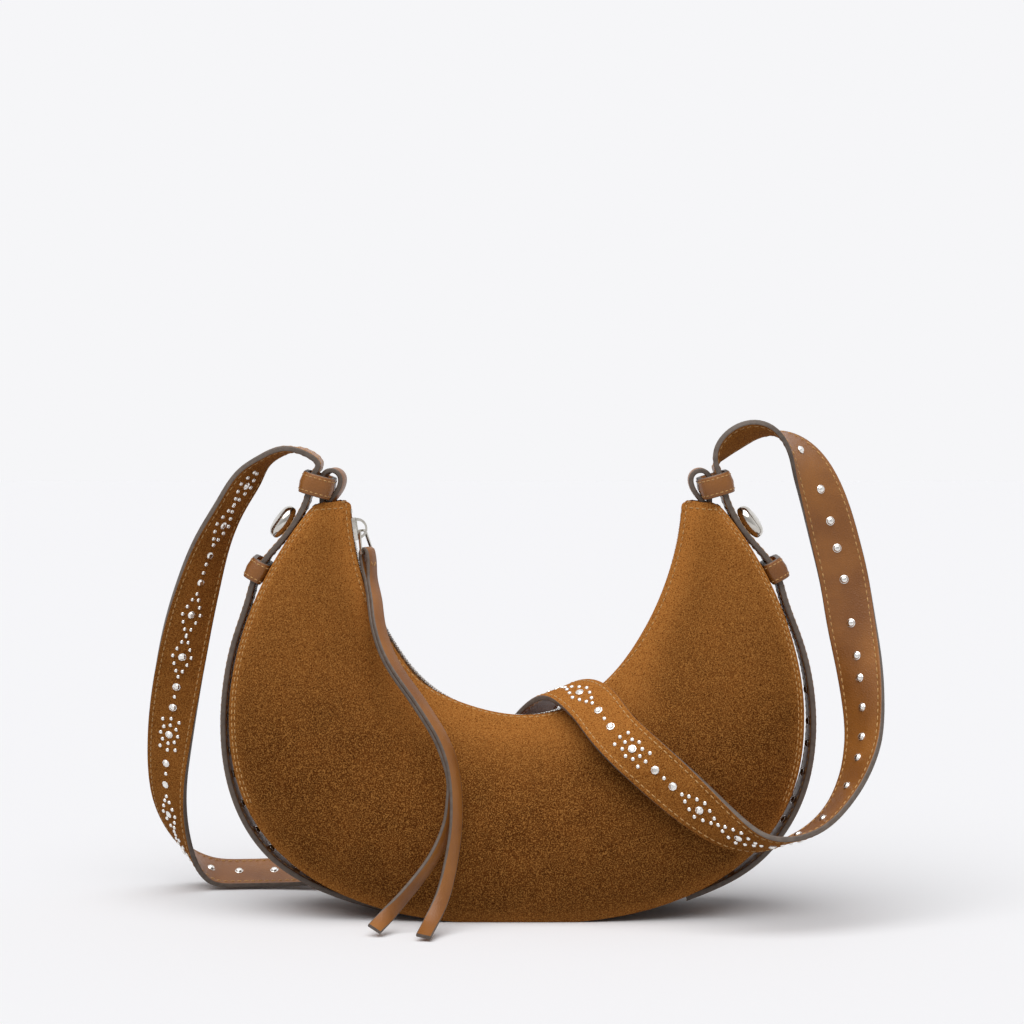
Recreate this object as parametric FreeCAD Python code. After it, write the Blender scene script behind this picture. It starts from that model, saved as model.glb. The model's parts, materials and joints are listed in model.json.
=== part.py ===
import FreeCAD, Part
import math
import os

os.makedirs("parts", exist_ok=True)

vec = FreeCAD.Vector
right = vec(1, 0, 0)
back = vec(0, 1, 0)
up = vec(0, 0, 1)

# Half moon bag, in mm and degrees. +X right, +Y to the back, +Z up.
# The origin is the middle of the flat base.

# Outline of the bag seen from the front
bag_half_width = 163.8
widest_height = 118.0
upper_reach = 181.5
base_sink = 1.2
lower_fullness_share = 2.4
upper_fullness_share = 1.8
crook_height = 112.0
crook_radius = 80.0
crook_angle = 54.0
horn_radius = 170.0
tip_width = 20.2

# Depth of the bag: stations run from the middle of the crook to a tip
base_depth = 72.0
zip_gap = 12.0
belly_share = 0.18
section_shares = (0.0, 0.06, 0.2, 0.35, 0.5, 0.65, 0.8, 0.94, 1.0)
station_shares = (0.0, 0.16, 0.31, 0.47, 0.62, 0.72, 0.82, 0.91, 0.97, 1.0)
depth_shares = (1.0, 0.98, 0.94, 0.89, 0.81, 0.70, 0.59, 0.50, 0.42, 0.31)
lip_shares = (1.0, 1.0, 1.0, 1.0, 1.0, 1.0, 1.0, 1.0, 1.0, 0.83)
sink_shares = (0.0, 0.0, 0.0, 0.0, 0.3, 0.6, 0.9, 1.0, 1.0, 1.0)

# Leather, lining and the clearances between sewn pieces
skin = 1.8
lining_skin = 0.6
gusset_thickness = 3.0
gusset_sink = 1.5
seam_gap = 0.3
lining_inset = 1.0

# Zip chain along the crook
chain_end_gap = 5.9
tooth_pitch = 3.0
tooth_head = 1.25
tooth_foot = 0.95
tooth_height = 3.0
tooth_hook = 0.9
tooth_reach = 2.3
chain_rise = 0.6
tape_thickness = 0.6
tape_reach = 4.1
tape_drop = 0.9
tape_gap = 0.1
stop_length = 2.6
stop_gap = 0.3

# Slider, bail, puller link and thong
slider_end_gap = 14.8
slider_length = 13.0
slider_width = 9.0
slider_tail_share = 0.74
slider_plate = 1.2
slider_flange = 0.9
slider_gap = 0.4
bail_thickness = 1.4
bail_length = 12.4
bail_rise = 6.6
bail_rim = 1.2
link_wire = 1.3
link_top_width = 7.4
link_bottom_width = 14.0
link_length = 13.0
link_turn_angle = 62.0
link_seat_share = 2.2
eye_seat_share = 0.52
link_lean_angle = 14.0
thong_width = 8.5
thong_thickness = 2.2
thong_gap = 0.3

# Strap: a suede face glued to a leather back
strap_width = 28.0
suede_thickness = 1.5
backing_thickness = 1.7
glue_gap = 0.1

# Keepers, tabs and studs at the tips
keeper_band = 12.4
keeper_leather = 2.6
keeper_corner = 3.4
keeper_side_gap = 0.6
upper_keeper_outside = 6.0
upper_keeper_inside = 12.6
upper_keeper_angle = 16.0
upper_keeper_side = 1.9
upper_keeper_rise = 13.0
lower_keeper_outside = 6.8
lower_keeper_end_gap = 30.0
tab_width = 12.0
tab_leather = 2.1
tab_loop = 6.6
tab_root = 9.0
tab_rise = 15.2
stud_end_gap = 11.9
stud_length = 20.6
stud_width = 14.0
stud_height = 6.8
stud_rest_share = 0.4
stud_lift = 0.5
stud_neck = 5.0
stud_bore = 3.0
stud_bore_gap = 0.1
screw_head = 11.0
screw_head_height = 1.4
neck_clearance = 0.4

# One overrun serves every cut
overrun = 2.0

# How finely curves are followed
contour_halvings = 48
slope_step_angle = 1.0
quarter_turn_angle = 90.0
strip_bend_angle = 8.0
panel_steps = 13
lining_steps = 12
base_strip_steps = 4


# Arcs of the zip line

crook_centre = vec(0, 0, crook_height + crook_radius)
horn_step = horn_radius - crook_radius


def radial(angle):
    # Unit direction from the centre of a zip arc out to the bag
    turn = math.radians(angle)
    return vec(math.sin(turn), 0, -math.cos(turn))


def arc_centre(angle):
    if abs(angle) <= crook_angle:
        return crook_centre
    return crook_centre - radial(math.copysign(crook_angle, angle)) * horn_step


def arc_radius(angle):
    return crook_radius if abs(angle) <= crook_angle else horn_radius


def lip_point(angle):
    return arc_centre(angle) + radial(angle) * arc_radius(angle)


def angle_at(distance):
    # Angle of a place on the zip line, measured along it from the middle
    crook_half = crook_radius * math.radians(crook_angle)
    if abs(distance) <= crook_half:
        return math.degrees(distance / crook_radius)
    beyond = math.degrees((abs(distance) - crook_half) / horn_radius)
    return math.copysign(crook_angle + beyond, distance)


# Outer contour of the bag

def is_outside(point):
    rise = point.z - widest_height
    span = upper_reach
    power = upper_fullness_share
    if rise < 0:
        span = widest_height + base_sink
        power = lower_fullness_share
    return (abs(point.x) / bag_half_width) ** power + (abs(rise) / span) ** power > 1


def reach(angle):
    # Length from the lip to the contour, along the section at that angle
    low = 0.0
    high = bag_half_width + upper_reach
    for halving in range(contour_halvings):
        middle = (low + high) / 2
        if is_outside(lip_point(angle) + radial(angle) * middle):
            high = middle
        else:
            low = middle
    return low


def find_tip_angle():
    # A horn ends where it has narrowed to the width of the tip
    low = crook_angle
    high = quarter_turn_angle
    for halving in range(contour_halvings):
        middle = (low + high) / 2
        if reach(middle) > tip_width:
            low = middle
        else:
            high = middle
    return low


tip_angle = find_tip_angle()
tip_height = lip_point(tip_angle).z


def angle_before_tip(gap):
    # Angle of a place on a horn, measured along the zip line from the tip
    return tip_angle - math.degrees(gap / horn_radius)


chain_angle = angle_before_tip(chain_end_gap)
slider_angle = -angle_before_tip(slider_end_gap)
lower_keeper_angle = angle_before_tip(lower_keeper_end_gap)
stud_angle = angle_before_tip(stud_end_gap)


def panel_reach(angle):
    # The panels stop at the floor and a little short of the gusset
    to_floor = lip_point(angle).z / -radial(angle).z
    if to_floor <= 0:
        return reach(angle) - seam_gap
    return min(reach(angle), to_floor) - seam_gap


def along_stations(table, angle):
    # Value of a station table at any angle
    place = abs(angle) / tip_angle
    for index in range(1, len(station_shares)):
        before = station_shares[index - 1]
        after = station_shares[index]
        if place <= after:
            part = (place - before) / (after - before)
            return table[index - 1] + (table[index] - table[index - 1]) * part
    return table[-1]


def half_depth(angle):
    return base_depth / 2 * along_stations(depth_shares, angle)


def sunk_reach(angle):
    return reach(angle) - gusset_sink * along_stations(sink_shares, angle)


def mirrored_angles(steps):
    halves = [tip_angle * step / panel_steps for step in range(steps + 1)]
    return [-angle for angle in reversed(halves[1:])] + halves


# Skins: rings of corners joined by flat facets, split alike on both sides of the skin

def faceted(rings):
    half = len(rings[0]) // 2
    facets = [rings[0][::-1], rings[-1]]
    for ring, after in zip(rings, rings[1:]):
        for index in range(len(ring)):
            quad = (ring[index - 1], ring[index], after[index], after[index - 1])
            first = index // half
            facets.append([quad[first + step] for step in range(3)])
            facets.append([quad[first], quad[first + 2], quad[first - 1]])
    faces = [Part.Face(Part.makePolygon(list(facet) + [facet[0]])) for facet in facets]
    shell = Part.makeShell(faces)
    shell.sewShape()
    return Part.Solid(shell)


# Panels and linings: thin skins through sections that swell like a belly

def panel_line(angle, side, level, shares):
    # Points of the swelling section from lip to seam, moved in by a level from the outside
    length = panel_reach(angle)
    lip_half = zip_gap / 2 * along_stations(lip_shares, angle)
    spread = half_depth(angle) - lip_half
    swell = belly_share * length
    points = []
    for place in shares:
        depth = lip_half + spread * place + 4 * swell * place * (1 - place)
        slope = (spread + 4 * swell * (1 - 2 * place)) / length
        norm = math.hypot(1, slope)
        out = place * length + level * slope / norm
        points.append(lip_point(angle) + radial(angle) * out + back * (side * (depth - level / norm)))
    return points


def panel(side, inset, thickness, shares, steps):
    rings = []
    for angle in mirrored_angles(steps):
        outer = panel_line(angle, side, inset, shares)
        inner = panel_line(angle, side, inset + thickness, shares)
        rings.append(outer + inner[::-1])
    return faceted(rings)


def skin_panel(side):
    return panel(side, 0, skin, section_shares, panel_steps)


def lining_panel(side):
    inset = skin + seam_gap
    return panel(side, inset, lining_skin, section_shares[1:-1], lining_steps)


# Gusset: a base strip and two side strips sewn end to end, cut flat where the bag stands

def band_section(angle, outer, inner, half_width):
    corners = []
    for out, side in ((outer, -1), (outer, 1), (inner, 1), (inner, -1)):
        corners.append(lip_point(angle) + radial(angle) * out + back * (side * half_width))
    return corners


def band(inset, thickness, narrowing, angles):
    rings = []
    for angle in angles:
        outer = sunk_reach(angle) - inset
        rings.append(band_section(angle, outer, outer - thickness, half_depth(angle) - narrowing))
    return faceted(rings)


def below_floor():
    depth = base_sink + overrun
    box = Part.makeBox(2 * bag_half_width, base_depth + 2 * overrun, depth)
    return box.translated(vec(-bag_half_width, -base_depth / 2 - overrun, -depth))


def stud_hole(side):
    return on_gusset(side * stud_angle, neck_cylinder(stud_neck / 2 + neck_clearance))


def gusset_strip(angles):
    return band(0, gusset_thickness, skin + seam_gap, angles).cut(below_floor())


def side_gusset(side):
    halves = mirrored_angles(panel_steps)[panel_steps + base_strip_steps:]
    angles = halves if side > 0 else [-angle for angle in reversed(halves)]
    return gusset_strip(angles).cut(stud_hole(side))


def gusset_lining():
    inset = gusset_thickness + seam_gap
    return band(inset, lining_skin, skin + seam_gap + lining_inset, mirrored_angles(lining_steps))


# Places on the gusset: local Z points out of the bag, local X runs up the side

def gusset_point(angle):
    return lip_point(angle) + radial(angle) * sunk_reach(angle)


def gusset_directions(angle):
    side = math.copysign(1, angle)
    along = (gusset_point(angle + side * slope_step_angle) - gusset_point(angle)).normalize()
    return along, back.cross(along) * side


def beside_gusset(angle, standoff):
    along, outward = gusset_directions(angle)
    return gusset_point(angle) + outward * standoff


def on_gusset(angle, shape):
    along, outward = gusset_directions(angle)
    rotation = FreeCAD.Rotation(along, outward.cross(along), outward, "ZXY")
    placed = shape.copy()
    placed.Placement = FreeCAD.Placement(gusset_point(angle), rotation).multiply(shape.Placement)
    return placed


def neck_cylinder(radius):
    length = 2 * (gusset_thickness + strap_thickness + overrun)
    return Part.makeCylinder(radius, length, vec(0, 0, -length / 2))


# Zip tapes and teeth: every piece is turned about the centre of its arc

def on_chain(angle, shape):
    # Local X runs along the chain, local Z points away from the bag
    placed = shape.copy()
    turn = FreeCAD.Rotation(back, -angle)
    placed.Placement = FreeCAD.Placement(lip_point(angle), turn).multiply(shape.Placement)
    return placed


def tape(side):
    inner = side * (tooth_reach + tape_gap)
    outer = side * tape_reach
    low = chain_rise - tape_drop
    half = tape_thickness / 2
    profile = ((inner, chain_rise - half), (outer, low - half),
               (outer, low + half), (inner, chain_rise + half))
    stops = (-chain_angle, -crook_angle, crook_angle, chain_angle)
    spans = []
    for start, end in zip(stops, stops[1:]):
        middle = (start + end) / 2
        corners = []
        for deep, rise in profile:
            corners.append(arc_centre(middle) + radial(start) * (arc_radius(middle) - rise) + back * deep)
        face = Part.Face(Part.makePolygon(corners + corners[:1]))
        spans.append(face.revolve(arc_centre(middle), back, start - end))
    return spans[0].fuse(spans[1:]).removeSplitter()


def tooth(side):
    outline = []
    for turn, width, deep in ((-1, tooth_foot, tooth_reach), (1, tooth_foot, tooth_reach),
                              (1, tooth_head, -tooth_hook), (-1, tooth_head, -tooth_hook)):
        outline.append(vec(turn * width / 2, side * deep, chain_rise - tooth_height / 2))
    face = Part.Face(Part.makePolygon(outline + outline[:1]))
    return face.extrude(up * tooth_height)


def teeth(side, shift_share):
    half_length = crook_radius * math.radians(crook_angle)
    half_length += horn_radius * math.radians(chain_angle - crook_angle)
    count = int(2 * half_length / tooth_pitch) - 1
    first = -(count - 1) / 2 * tooth_pitch
    row = []
    for index in range(count):
        distance = first + (index + shift_share) * tooth_pitch
        row.append(on_chain(angle_at(distance), tooth(side)))
    return Part.makeCompound(row)


def zip_stop(side):
    # A clamp across both tapes, just past the last tooth
    place = chain_angle + math.degrees((stop_gap + stop_length / 2) / horn_radius)
    box = Part.makeBox(stop_length, 2 * tooth_reach, tooth_height)
    box.translate(vec(-stop_length / 2, -tooth_reach, chain_rise - tooth_height / 2))
    edges = [edge for edge in box.Edges if edge.CenterOfMass.z > chain_rise + tooth_height / 4]
    return on_chain(side * place, box.makeFillet(tooth_height / 6, edges))


# Slider with its bail

slider_floor = chain_rise + tooth_height / 2 + slider_gap
bail_foot = slider_floor + slider_plate


def arch_face(length, rise, foot):
    # Upright D shape in the plane of the chain
    left = vec(-length / 2, 0, foot)
    right = vec(length / 2, 0, foot)
    bow = Part.Arc(left, vec(0, 0, foot + rise), right)
    return Part.Face(Part.Wire([bow.toShape(), Part.LineSegment(right, left).toShape()]))


def slider():
    wide = slider_width / 2
    narrow = wide * slider_tail_share
    half = slider_length / 2
    rim = ((-half, -wide), (0, -wide), (half, -narrow), (half, narrow), (0, wide), (-half, wide))
    outline = [vec(along, deep, slider_floor) for along, deep in rim]
    plate = Part.Face(Part.makePolygon(outline + outline[:1])).extrude(up * slider_plate)
    inner_face = Part.makeBox(slider_length + 2 * overrun, 2 * (narrow - slider_flange), tooth_height)
    inner_face.translate(vec(-half - overrun, slider_flange - narrow, slider_floor - tooth_height))
    flange_drop = tooth_height / 2 - tape_thickness
    skirt = Part.Face(Part.makePolygon(outline + outline[:1])).extrude(up * -flange_drop)
    body = plate.fuse(skirt.cut(inner_face))
    bail = arch_face(bail_length, bail_rise, bail_foot - slider_plate / 2)
    eye = arch_face(bail_length - 3 * bail_rim, bail_rise - 2 * bail_rim, bail_foot + bail_rim / 2)
    ring = bail.cut(eye).extrude(back * bail_thickness).translated(back * (-bail_thickness / 2))
    return on_chain(slider_angle, body.fuse(ring).removeSplitter())


# Puller link: a flat trapezoid frame hanging through the eye of the bail

link_across = FreeCAD.Rotation(up, link_turn_angle).multVec(vec(1, 0, 0))
link_away = link_across.cross(up)
lean = math.radians(link_lean_angle)
link_down = link_away * math.sin(lean) - up * math.cos(lean)
eye_height = bail_foot + bail_rim / 2 + (bail_rise - 2 * bail_rim) * eye_seat_share
eye_low = bail_length / 2 - 3 * bail_rim / 2 - link_wire * link_seat_share
link_pivot = on_chain(slider_angle, Part.Vertex(vec(eye_low, 0, eye_height))).Point
link_bar = link_pivot + link_down * link_length


def trapezoid(top_half, bottom_half, top, bottom):
    corners = []
    for side, half, drop in ((-1, top_half, top), (1, top_half, top),
                             (1, bottom_half, bottom), (-1, bottom_half, bottom)):
        corners.append(link_pivot + link_down * drop + link_across * (side * half))
    return Part.Face(Part.makePolygon(corners + corners[:1]))


def puller_link():
    half_wire = link_wire / 2
    top = link_top_width / 2
    bottom = link_bottom_width / 2
    outer = trapezoid(top, bottom, -half_wire, link_length + half_wire)
    inner = trapezoid(top - link_wire, bottom - link_wire, half_wire, link_length - half_wire)
    thick = link_across.cross(link_down) * link_wire
    return outer.cut(inner).extrude(thick).translated(thick / -2)


# Flat strips: rectangles along a hand-laid route

crook_place_share = 0.4746


def place(shares):
    # Heights are shares of the tip's height, and those below the crook keep to the crook
    across, deep, high = shares
    height = high / crook_place_share * crook_height
    if high > crook_place_share:
        above = (high - crook_place_share) / (1 - crook_place_share)
        height = crook_height + above * (tip_height - crook_height)
    return vec(across * bag_half_width, deep * base_depth / 2, height)


def smooth_route(route):
    # A fair curve through the points, stepped finer where the strip bends or twists
    marks = [0.0]
    for (before, lie), (after, next_lie) in zip(route, route[1:]):
        marks.append(marks[-1] + (after - before).Length)
    path = Part.BSplineCurve()
    path.interpolate(Points=[point for point, lie in route], Parameters=marks)
    fine = []
    for index in range(1, len(route)):
        start, end = marks[index - 1], marks[index]
        lie, next_lie = route[index - 1][1], route[index][1]
        bend = path.tangent(start)[0].getAngle(path.tangent(end)[0])
        turn = math.degrees(max(bend, lie.getAngle(next_lie)))
        steps = max(1, math.ceil(turn / strip_bend_angle))
        for step in range(steps):
            share = step / steps
            ease = share * share * (3 - 2 * share)
            fine.append((start + (end - start) * share, lie + (next_lie - lie) * ease))
    fine.append((marks[-1], route[-1][1]))
    return [(path.value(mark), path.tangent(mark)[0], lie) for mark, lie in fine]


def strip(route, width, low, high):
    # Each step of the route is a point and the direction across the strip
    rings = []
    for point, along, across in smooth_route(route):
        side = (across - along * across.dot(along)).normalize()
        face = along.cross(side)
        ring = []
        for edge, level in ((-1, low), (1, low), (1, high), (-1, high)):
            ring.append(point + side * (edge * width / 2) + face * level)
        rings.append(ring)
    return faceted(rings)


# Thong: folded over the lower bar of the link, two tails down the front

thong_top_shares = (
    ((-0.512, -0.14, 0.820), (0.53, 0.85, 0.0)),
    ((-0.497, -0.34, 0.773), (0.60, 0.80, 0.0)),
    ((-0.486, -0.56, 0.727), (0.65, 0.76, 0.0)),
    ((-0.439, -0.86, 0.633), (0.66, 0.75, 0.0)),
    ((-0.348, -1.11, 0.544), (0.66, 0.75, 0.0)),
    ((-0.302, -1.21, 0.498), (0.66, 0.75, 0.0)),
    ((-0.261, -1.28, 0.451), (0.66, 0.75, 0.0)),
    ((-0.232, -1.33, 0.401), (0.67, 0.74, 0.0)),
)
front_tail_shares = (
    ((-0.212, -1.41, 0.352), (0.68, 0.73, 0.0)),
    ((-0.207, -1.45, 0.305), (0.70, 0.71, 0.0)),
    ((-0.207, -1.48, 0.258), (0.73, 0.68, 0.0)),
    ((-0.213, -1.52, 0.212), (0.77, 0.64, 0.0)),
    ((-0.224, -1.58, 0.165), (0.81, 0.58, 0.0)),
    ((-0.238, -1.67, 0.119), (0.84, 0.52, 0.0)),
    ((-0.258, -1.82, 0.076), (0.87, 0.46, 0.0)),
    ((-0.285, -2.07, 0.040), (0.90, 0.38, 0.0)),
    ((-0.312, -2.50, 0.013), (0.93, 0.32, 0.0)),
)
back_tail_shares = (
    ((-0.220, -1.34, 0.352), (0.68, 0.73, 0.0)),
    ((-0.222, -1.36, 0.305), (0.68, 0.73, 0.0)),
    ((-0.231, -1.38, 0.258), (0.68, 0.73, 0.0)),
    ((-0.253, -1.42, 0.212), (0.69, 0.72, 0.0)),
    ((-0.284, -1.48, 0.170), (0.71, 0.70, 0.0)),
    ((-0.329, -1.57, 0.127), (0.74, 0.67, 0.0)),
    ((-0.381, -1.68, 0.085), (0.78, 0.62, 0.0)),
    ((-0.434, -1.84, 0.047), (0.82, 0.57, 0.0)),
    ((-0.480, -2.16, 0.020), (0.84, 0.54, 0.0)),
)
fold_steps = 6


def pull_thong():
    # Up the front tail, round the bar and down the back tail
    upper = [(place(spot), vec(*across)) for spot, across in thong_top_shares]
    shift = (thong_thickness + thong_gap) / 2
    layers = []
    for layer in (1, -1):
        run = []
        for index, (point, across) in enumerate(upper):
            before = link_bar if index == 0 else upper[index - 1][0]
            along = (point - before).normalize()
            side = (across - along * across.dot(along)).normalize()
            run.append((point + side.cross(along) * (shift * layer), across))
        layers.append(run)
    front = layers[0] + [(place(spot), vec(*across)) for spot, across in front_tail_shares]
    rear = layers[1] + [(place(spot), vec(*across)) for spot, across in back_tail_shares]
    fall = (upper[0][0] - link_bar).normalize()
    proud = (link_across - fall * link_across.dot(fall)).normalize().cross(fall)
    radius = link_wire * math.sqrt(2) / 2 + thong_gap + thong_thickness / 2
    fold = []
    for step in range(fold_steps + 1):
        turn = math.pi * step / fold_steps
        spoke = proud * math.cos(turn) - fall * math.sin(turn)
        fold.append((link_bar + spoke * radius, link_across))
    route = list(reversed(front)) + fold + rear
    return strip(route, thong_width, -thong_thickness / 2, thong_thickness / 2)


# Strap route, from the end of the left tail to the end of the right tail

strap_thickness = suede_thickness + glue_gap + backing_thickness
tail_angle_shares = (0.25, 0.325, 0.41, 0.47, 0.515, 0.6, 0.68, 0.73, 0.795, 0.85)
tail_standoffs = (3.3, 4.3, 5.5, 6.2, 6.0, 5.6, 4.9, 4.7, 4.6, 5.2)
right_tail_skip = 1
rim_seat = gusset_sink + seam_gap
keeper_seat = rim_seat + keeper_leather + seam_gap + strap_thickness / 2
stud_seat = rim_seat + strap_thickness / 2
loop_shares = (
    ((-0.692, 0.0, 1.096), (0.0, 1.0, 0.0)),
    ((-0.730, 0.0, 1.130), (0.0, 1.0, 0.0)),
    ((-0.815, -0.02, 1.139), (0.1, 1.0, -0.1)),
    ((-0.893, -0.03, 1.117), (0.3, 0.95, 0.0)),
    ((-0.952, -0.03, 1.080), (0.5, 0.85, 0.0)),
    ((-1.012, 0.0, 1.008), (0.55, 0.83, 0.0)),
    ((-1.068, 0.06, 0.910), (0.63, 0.77, -0.1)),
    ((-1.118, 0.14, 0.811), (0.78, 0.6, -0.17)),
    ((-1.159, 0.28, 0.711), (0.9, 0.4, -0.2)),
    ((-1.193, 0.47, 0.610), (0.97, 0.15, -0.17)),
    ((-1.224, 0.70, 0.506), (0.99, -0.1, -0.1)),
    ((-1.249, 0.95, 0.402), (0.93, -0.35, -0.05)),
    ((-1.265, 1.22, 0.295), (0.78, -0.6, 0.05)),
    ((-1.262, 1.47, 0.216), (0.65, -0.75, 0.05)),
    ((-1.232, 1.76, 0.130), (0.42, -0.9, 0.0)),
    ((-1.185, 1.94, 0.073), (0.26, -0.92, -0.25)),
    ((-1.125, 2.07, 0.041), (0.1, -0.92, -0.36)),
    ((-1.029, 2.14, 0.033), (0.03, -0.92, -0.37)),
    ((-0.914, 2.17, 0.034), (0.05, -0.92, -0.38)),
    ((-0.702, 2.03, 0.051), (0.15, -0.88, -0.45)),
    ((-0.519, 1.81, 0.085), (0.3, -0.75, -0.58)),
    ((-0.336, 1.58, 0.148), (0.55, -0.5, -0.67)),
    ((-0.171, 1.39, 0.229), (0.78, -0.2, -0.6)),
    ((-0.049, 1.17, 0.322), (0.9, 0.1, -0.35)),
    ((0.027, 0.89, 0.415), (0.9, 0.35, 0.0)),
    ((0.082, 0.58, 0.492), (0.82, 0.5, 0.2)),
    ((0.159, 0.10, 0.542), (0.76, 0.6, 0.25)),
    ((0.266, -0.53, 0.518), (0.72, 0.34, 0.6)),
    ((0.325, -0.98, 0.471), (0.66, 0.35, 0.65)),
    ((0.431, -1.38, 0.404), (0.67, 0.1, 0.7)),
    ((0.540, -1.58, 0.340), (0.68, -0.15, 0.68)),
    ((0.640, -1.70, 0.283), (0.62, -0.45, 0.64)),
    ((0.740, -1.79, 0.236), (0.45, -0.7, 0.55)),
    ((0.843, -1.80, 0.212), (0.1, -0.9, 0.4)),
    ((0.955, -1.68, 0.222), (-0.08, -0.98, 0.1)),
    ((1.050, -1.42, 0.254), (0.1, -0.98, 0.05)),
    ((1.118, -1.18, 0.299), (0.24, -0.95, 0.08)),
    ((1.162, -0.97, 0.345), (0.37, -0.92, 0.08)),
    ((1.190, -0.80, 0.390), (0.47, -0.87, 0.06)),
    ((1.207, -0.63, 0.435), (0.57, -0.81, 0.05)),
    ((1.212, -0.39, 0.526), (0.73, -0.67, 0.05)),
    ((1.199, -0.19, 0.621), (0.86, -0.48, 0.05)),
    ((1.176, -0.06, 0.717), (0.95, -0.25, 0.1)),
    ((1.153, 0.03, 0.814), (1.0, -0.05, 0.1)),
    ((1.120, 0.08, 0.911), (0.99, 0.07, 0.1)),
    ((1.082, 0.11, 1.004), (0.93, 0.3, 0.1)),
    ((1.031, 0.11, 1.088), (0.77, 0.6, 0.05)),
    ((0.979, 0.08, 1.138), (0.55, 0.83, 0.0)),
    ((0.918, 0.05, 1.177), (0.35, 0.93, 0.0)),
    ((0.840, 0.02, 1.191), (0.15, 1.0, 0.0)),
    ((0.756, 0.0, 1.163), (0.05, 1.0, 0.0)),
    ((0.716, 0.0, 1.122), (0.0, 1.0, 0.0)),
    ((0.702, 0.0, 1.086), (0.0, 1.0, 0.0)),
)


def upper_keeper_centre(side):
    return gusset_point(side * tip_angle) + vec(side * upper_keeper_side, 0, upper_keeper_rise)


def upper_keeper_along(side):
    # Down the strap, leaning out of the bag
    turn = math.radians(upper_keeper_angle)
    return vec(side * math.sin(turn), 0, -math.cos(turn))


def tip_run(side):
    # From the end of a tail up to the top of the upper keeper
    run = []
    skip = right_tail_skip if side > 0 else 0
    for share, standoff in list(zip(tail_angle_shares, tail_standoffs))[skip:]:
        run.append(beside_gusset(side * tip_angle * share, standoff))
    for angle, seat, rest in ((lower_keeper_angle, keeper_seat, keeper_band / 2),
                              (stud_angle, stud_seat, stud_length * stud_rest_share)):
        along, outward = gusset_directions(side * angle)
        middle = beside_gusset(side * angle, seat)
        run += [middle - along * rest, middle + along * rest]
    centre = upper_keeper_centre(side)
    half = upper_keeper_along(side) * (keeper_band / 2)
    run += [centre + half, centre - half]
    return [(point, back) for point in run]


def strap_route():
    loop = [(place(spot), vec(*across)) for spot, across in loop_shares]
    return tip_run(-1) + loop + list(reversed(tip_run(1)))


def strap_layer(low, high):
    shape = strip(strap_route(), strap_width, low, high)
    return shape.cut(stud_hole(-1)).cut(stud_hole(1))


def strap_suede():
    return strap_layer(glue_gap / 2, glue_gap / 2 + suede_thickness)


def strap_backing():
    return strap_layer(-glue_gap / 2 - backing_thickness, -glue_gap / 2)


# Keepers: rounded leather rings round the strap

def ring_face(low, high, half_width, corner):
    outline = ((low, -half_width), (high, -half_width), (high, half_width), (low, half_width))
    corners = [vec(out, deep, 0) for out, deep in outline]
    edges = []
    for index, point in enumerate(corners):
        to_last = (corners[index - 1] - point).normalize()
        to_next = (corners[(index + 1) % 4] - point).normalize()
        start = point + to_last * corner
        end = point + to_next * corner
        middle = point + (to_last + to_next) * (corner * (1 - math.sqrt(2) / 2))
        edges.append(Part.Arc(start, middle, end).toShape())
        far = corners[(index + 1) % 4] - to_next * corner
        edges.append(Part.LineSegment(end, far).toShape())
    return Part.Face(Part.Wire(edges))


def keeper_ring(low, high):
    half_width = strap_width / 2 + keeper_side_gap
    inner_corner = keeper_corner - keeper_leather
    inner = ring_face(low + keeper_leather, high - keeper_leather, half_width, inner_corner)
    outer = ring_face(low, high, half_width + keeper_leather, keeper_corner)
    return outer.cut(inner).extrude(up * keeper_band).translated(up * (-keeper_band / 2))


def upper_keeper(side):
    ring = keeper_ring(-upper_keeper_inside, upper_keeper_outside)
    along = upper_keeper_along(side) * -1
    outward = back.cross(along) * side
    rotation = FreeCAD.Rotation(outward, back * side, along, "ZXY")
    ring.Placement = FreeCAD.Placement(upper_keeper_centre(side), rotation).multiply(ring.Placement)
    return ring


def lower_keeper(side):
    # The ring lies on the gusset, so its own axis runs up the side of the bag
    ring = keeper_ring(rim_seat, keeper_seat + lower_keeper_outside)
    ring.Placement = FreeCAD.Placement(vec(0, 0, 0), FreeCAD.Rotation(right, up)).multiply(ring.Placement)
    return on_gusset(side * lower_keeper_angle, ring)


# Tabs: a leather loop sewn into each tip, round the inner wall of the upper keeper

def tab(side):
    wall = upper_keeper_inside - keeper_leather / 2
    inward = back.cross(upper_keeper_along(side)) * side
    middle = upper_keeper_centre(side) + inward * wall
    inner = tab_loop / 2
    outer = inner + tab_leather
    foot = tip_height - tab_root
    crown = tip_height + tab_rise
    faces = []
    for radius, top in ((outer, crown), (inner, crown)):
        left = vec(middle.x - radius, 0, top)
        right = vec(middle.x + radius, 0, top)
        low_left = vec(middle.x - radius, 0, foot)
        low_right = vec(middle.x + radius, 0, foot)
        bow = Part.Arc(left, vec(middle.x, 0, top + radius), right).toShape()
        sides = Part.makePolygon([right, low_right, low_left, left])
        faces.append(Part.Face(Part.Wire([bow] + sides.Edges)))
    return faces[0].cut(faces[1]).extrude(back * tab_width).translated(back * (-tab_width / 2))


# Studs: an oval pebble on a neck through the strap, held by a screw inside

def stud(side):
    seat = stud_seat + strap_thickness / 2 + stud_lift
    stretch = FreeCAD.Matrix()
    stretch.scale(stud_length / 2, stud_width / 2, stud_height)
    dome = Part.makeSphere(1, vec(0, 0, 0), up, 0, quarter_turn_angle)
    pebble = dome.transformGeometry(stretch).translated(up * seat)
    root = vec(0, 0, -gusset_thickness)
    neck = Part.makeCylinder(stud_neck / 2, seat + gusset_thickness + overrun / 2, root)
    bore = Part.makeCylinder(stud_bore / 2, seat + gusset_thickness, root)
    return on_gusset(side * stud_angle, pebble.fuse(neck).cut(bore))


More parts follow.
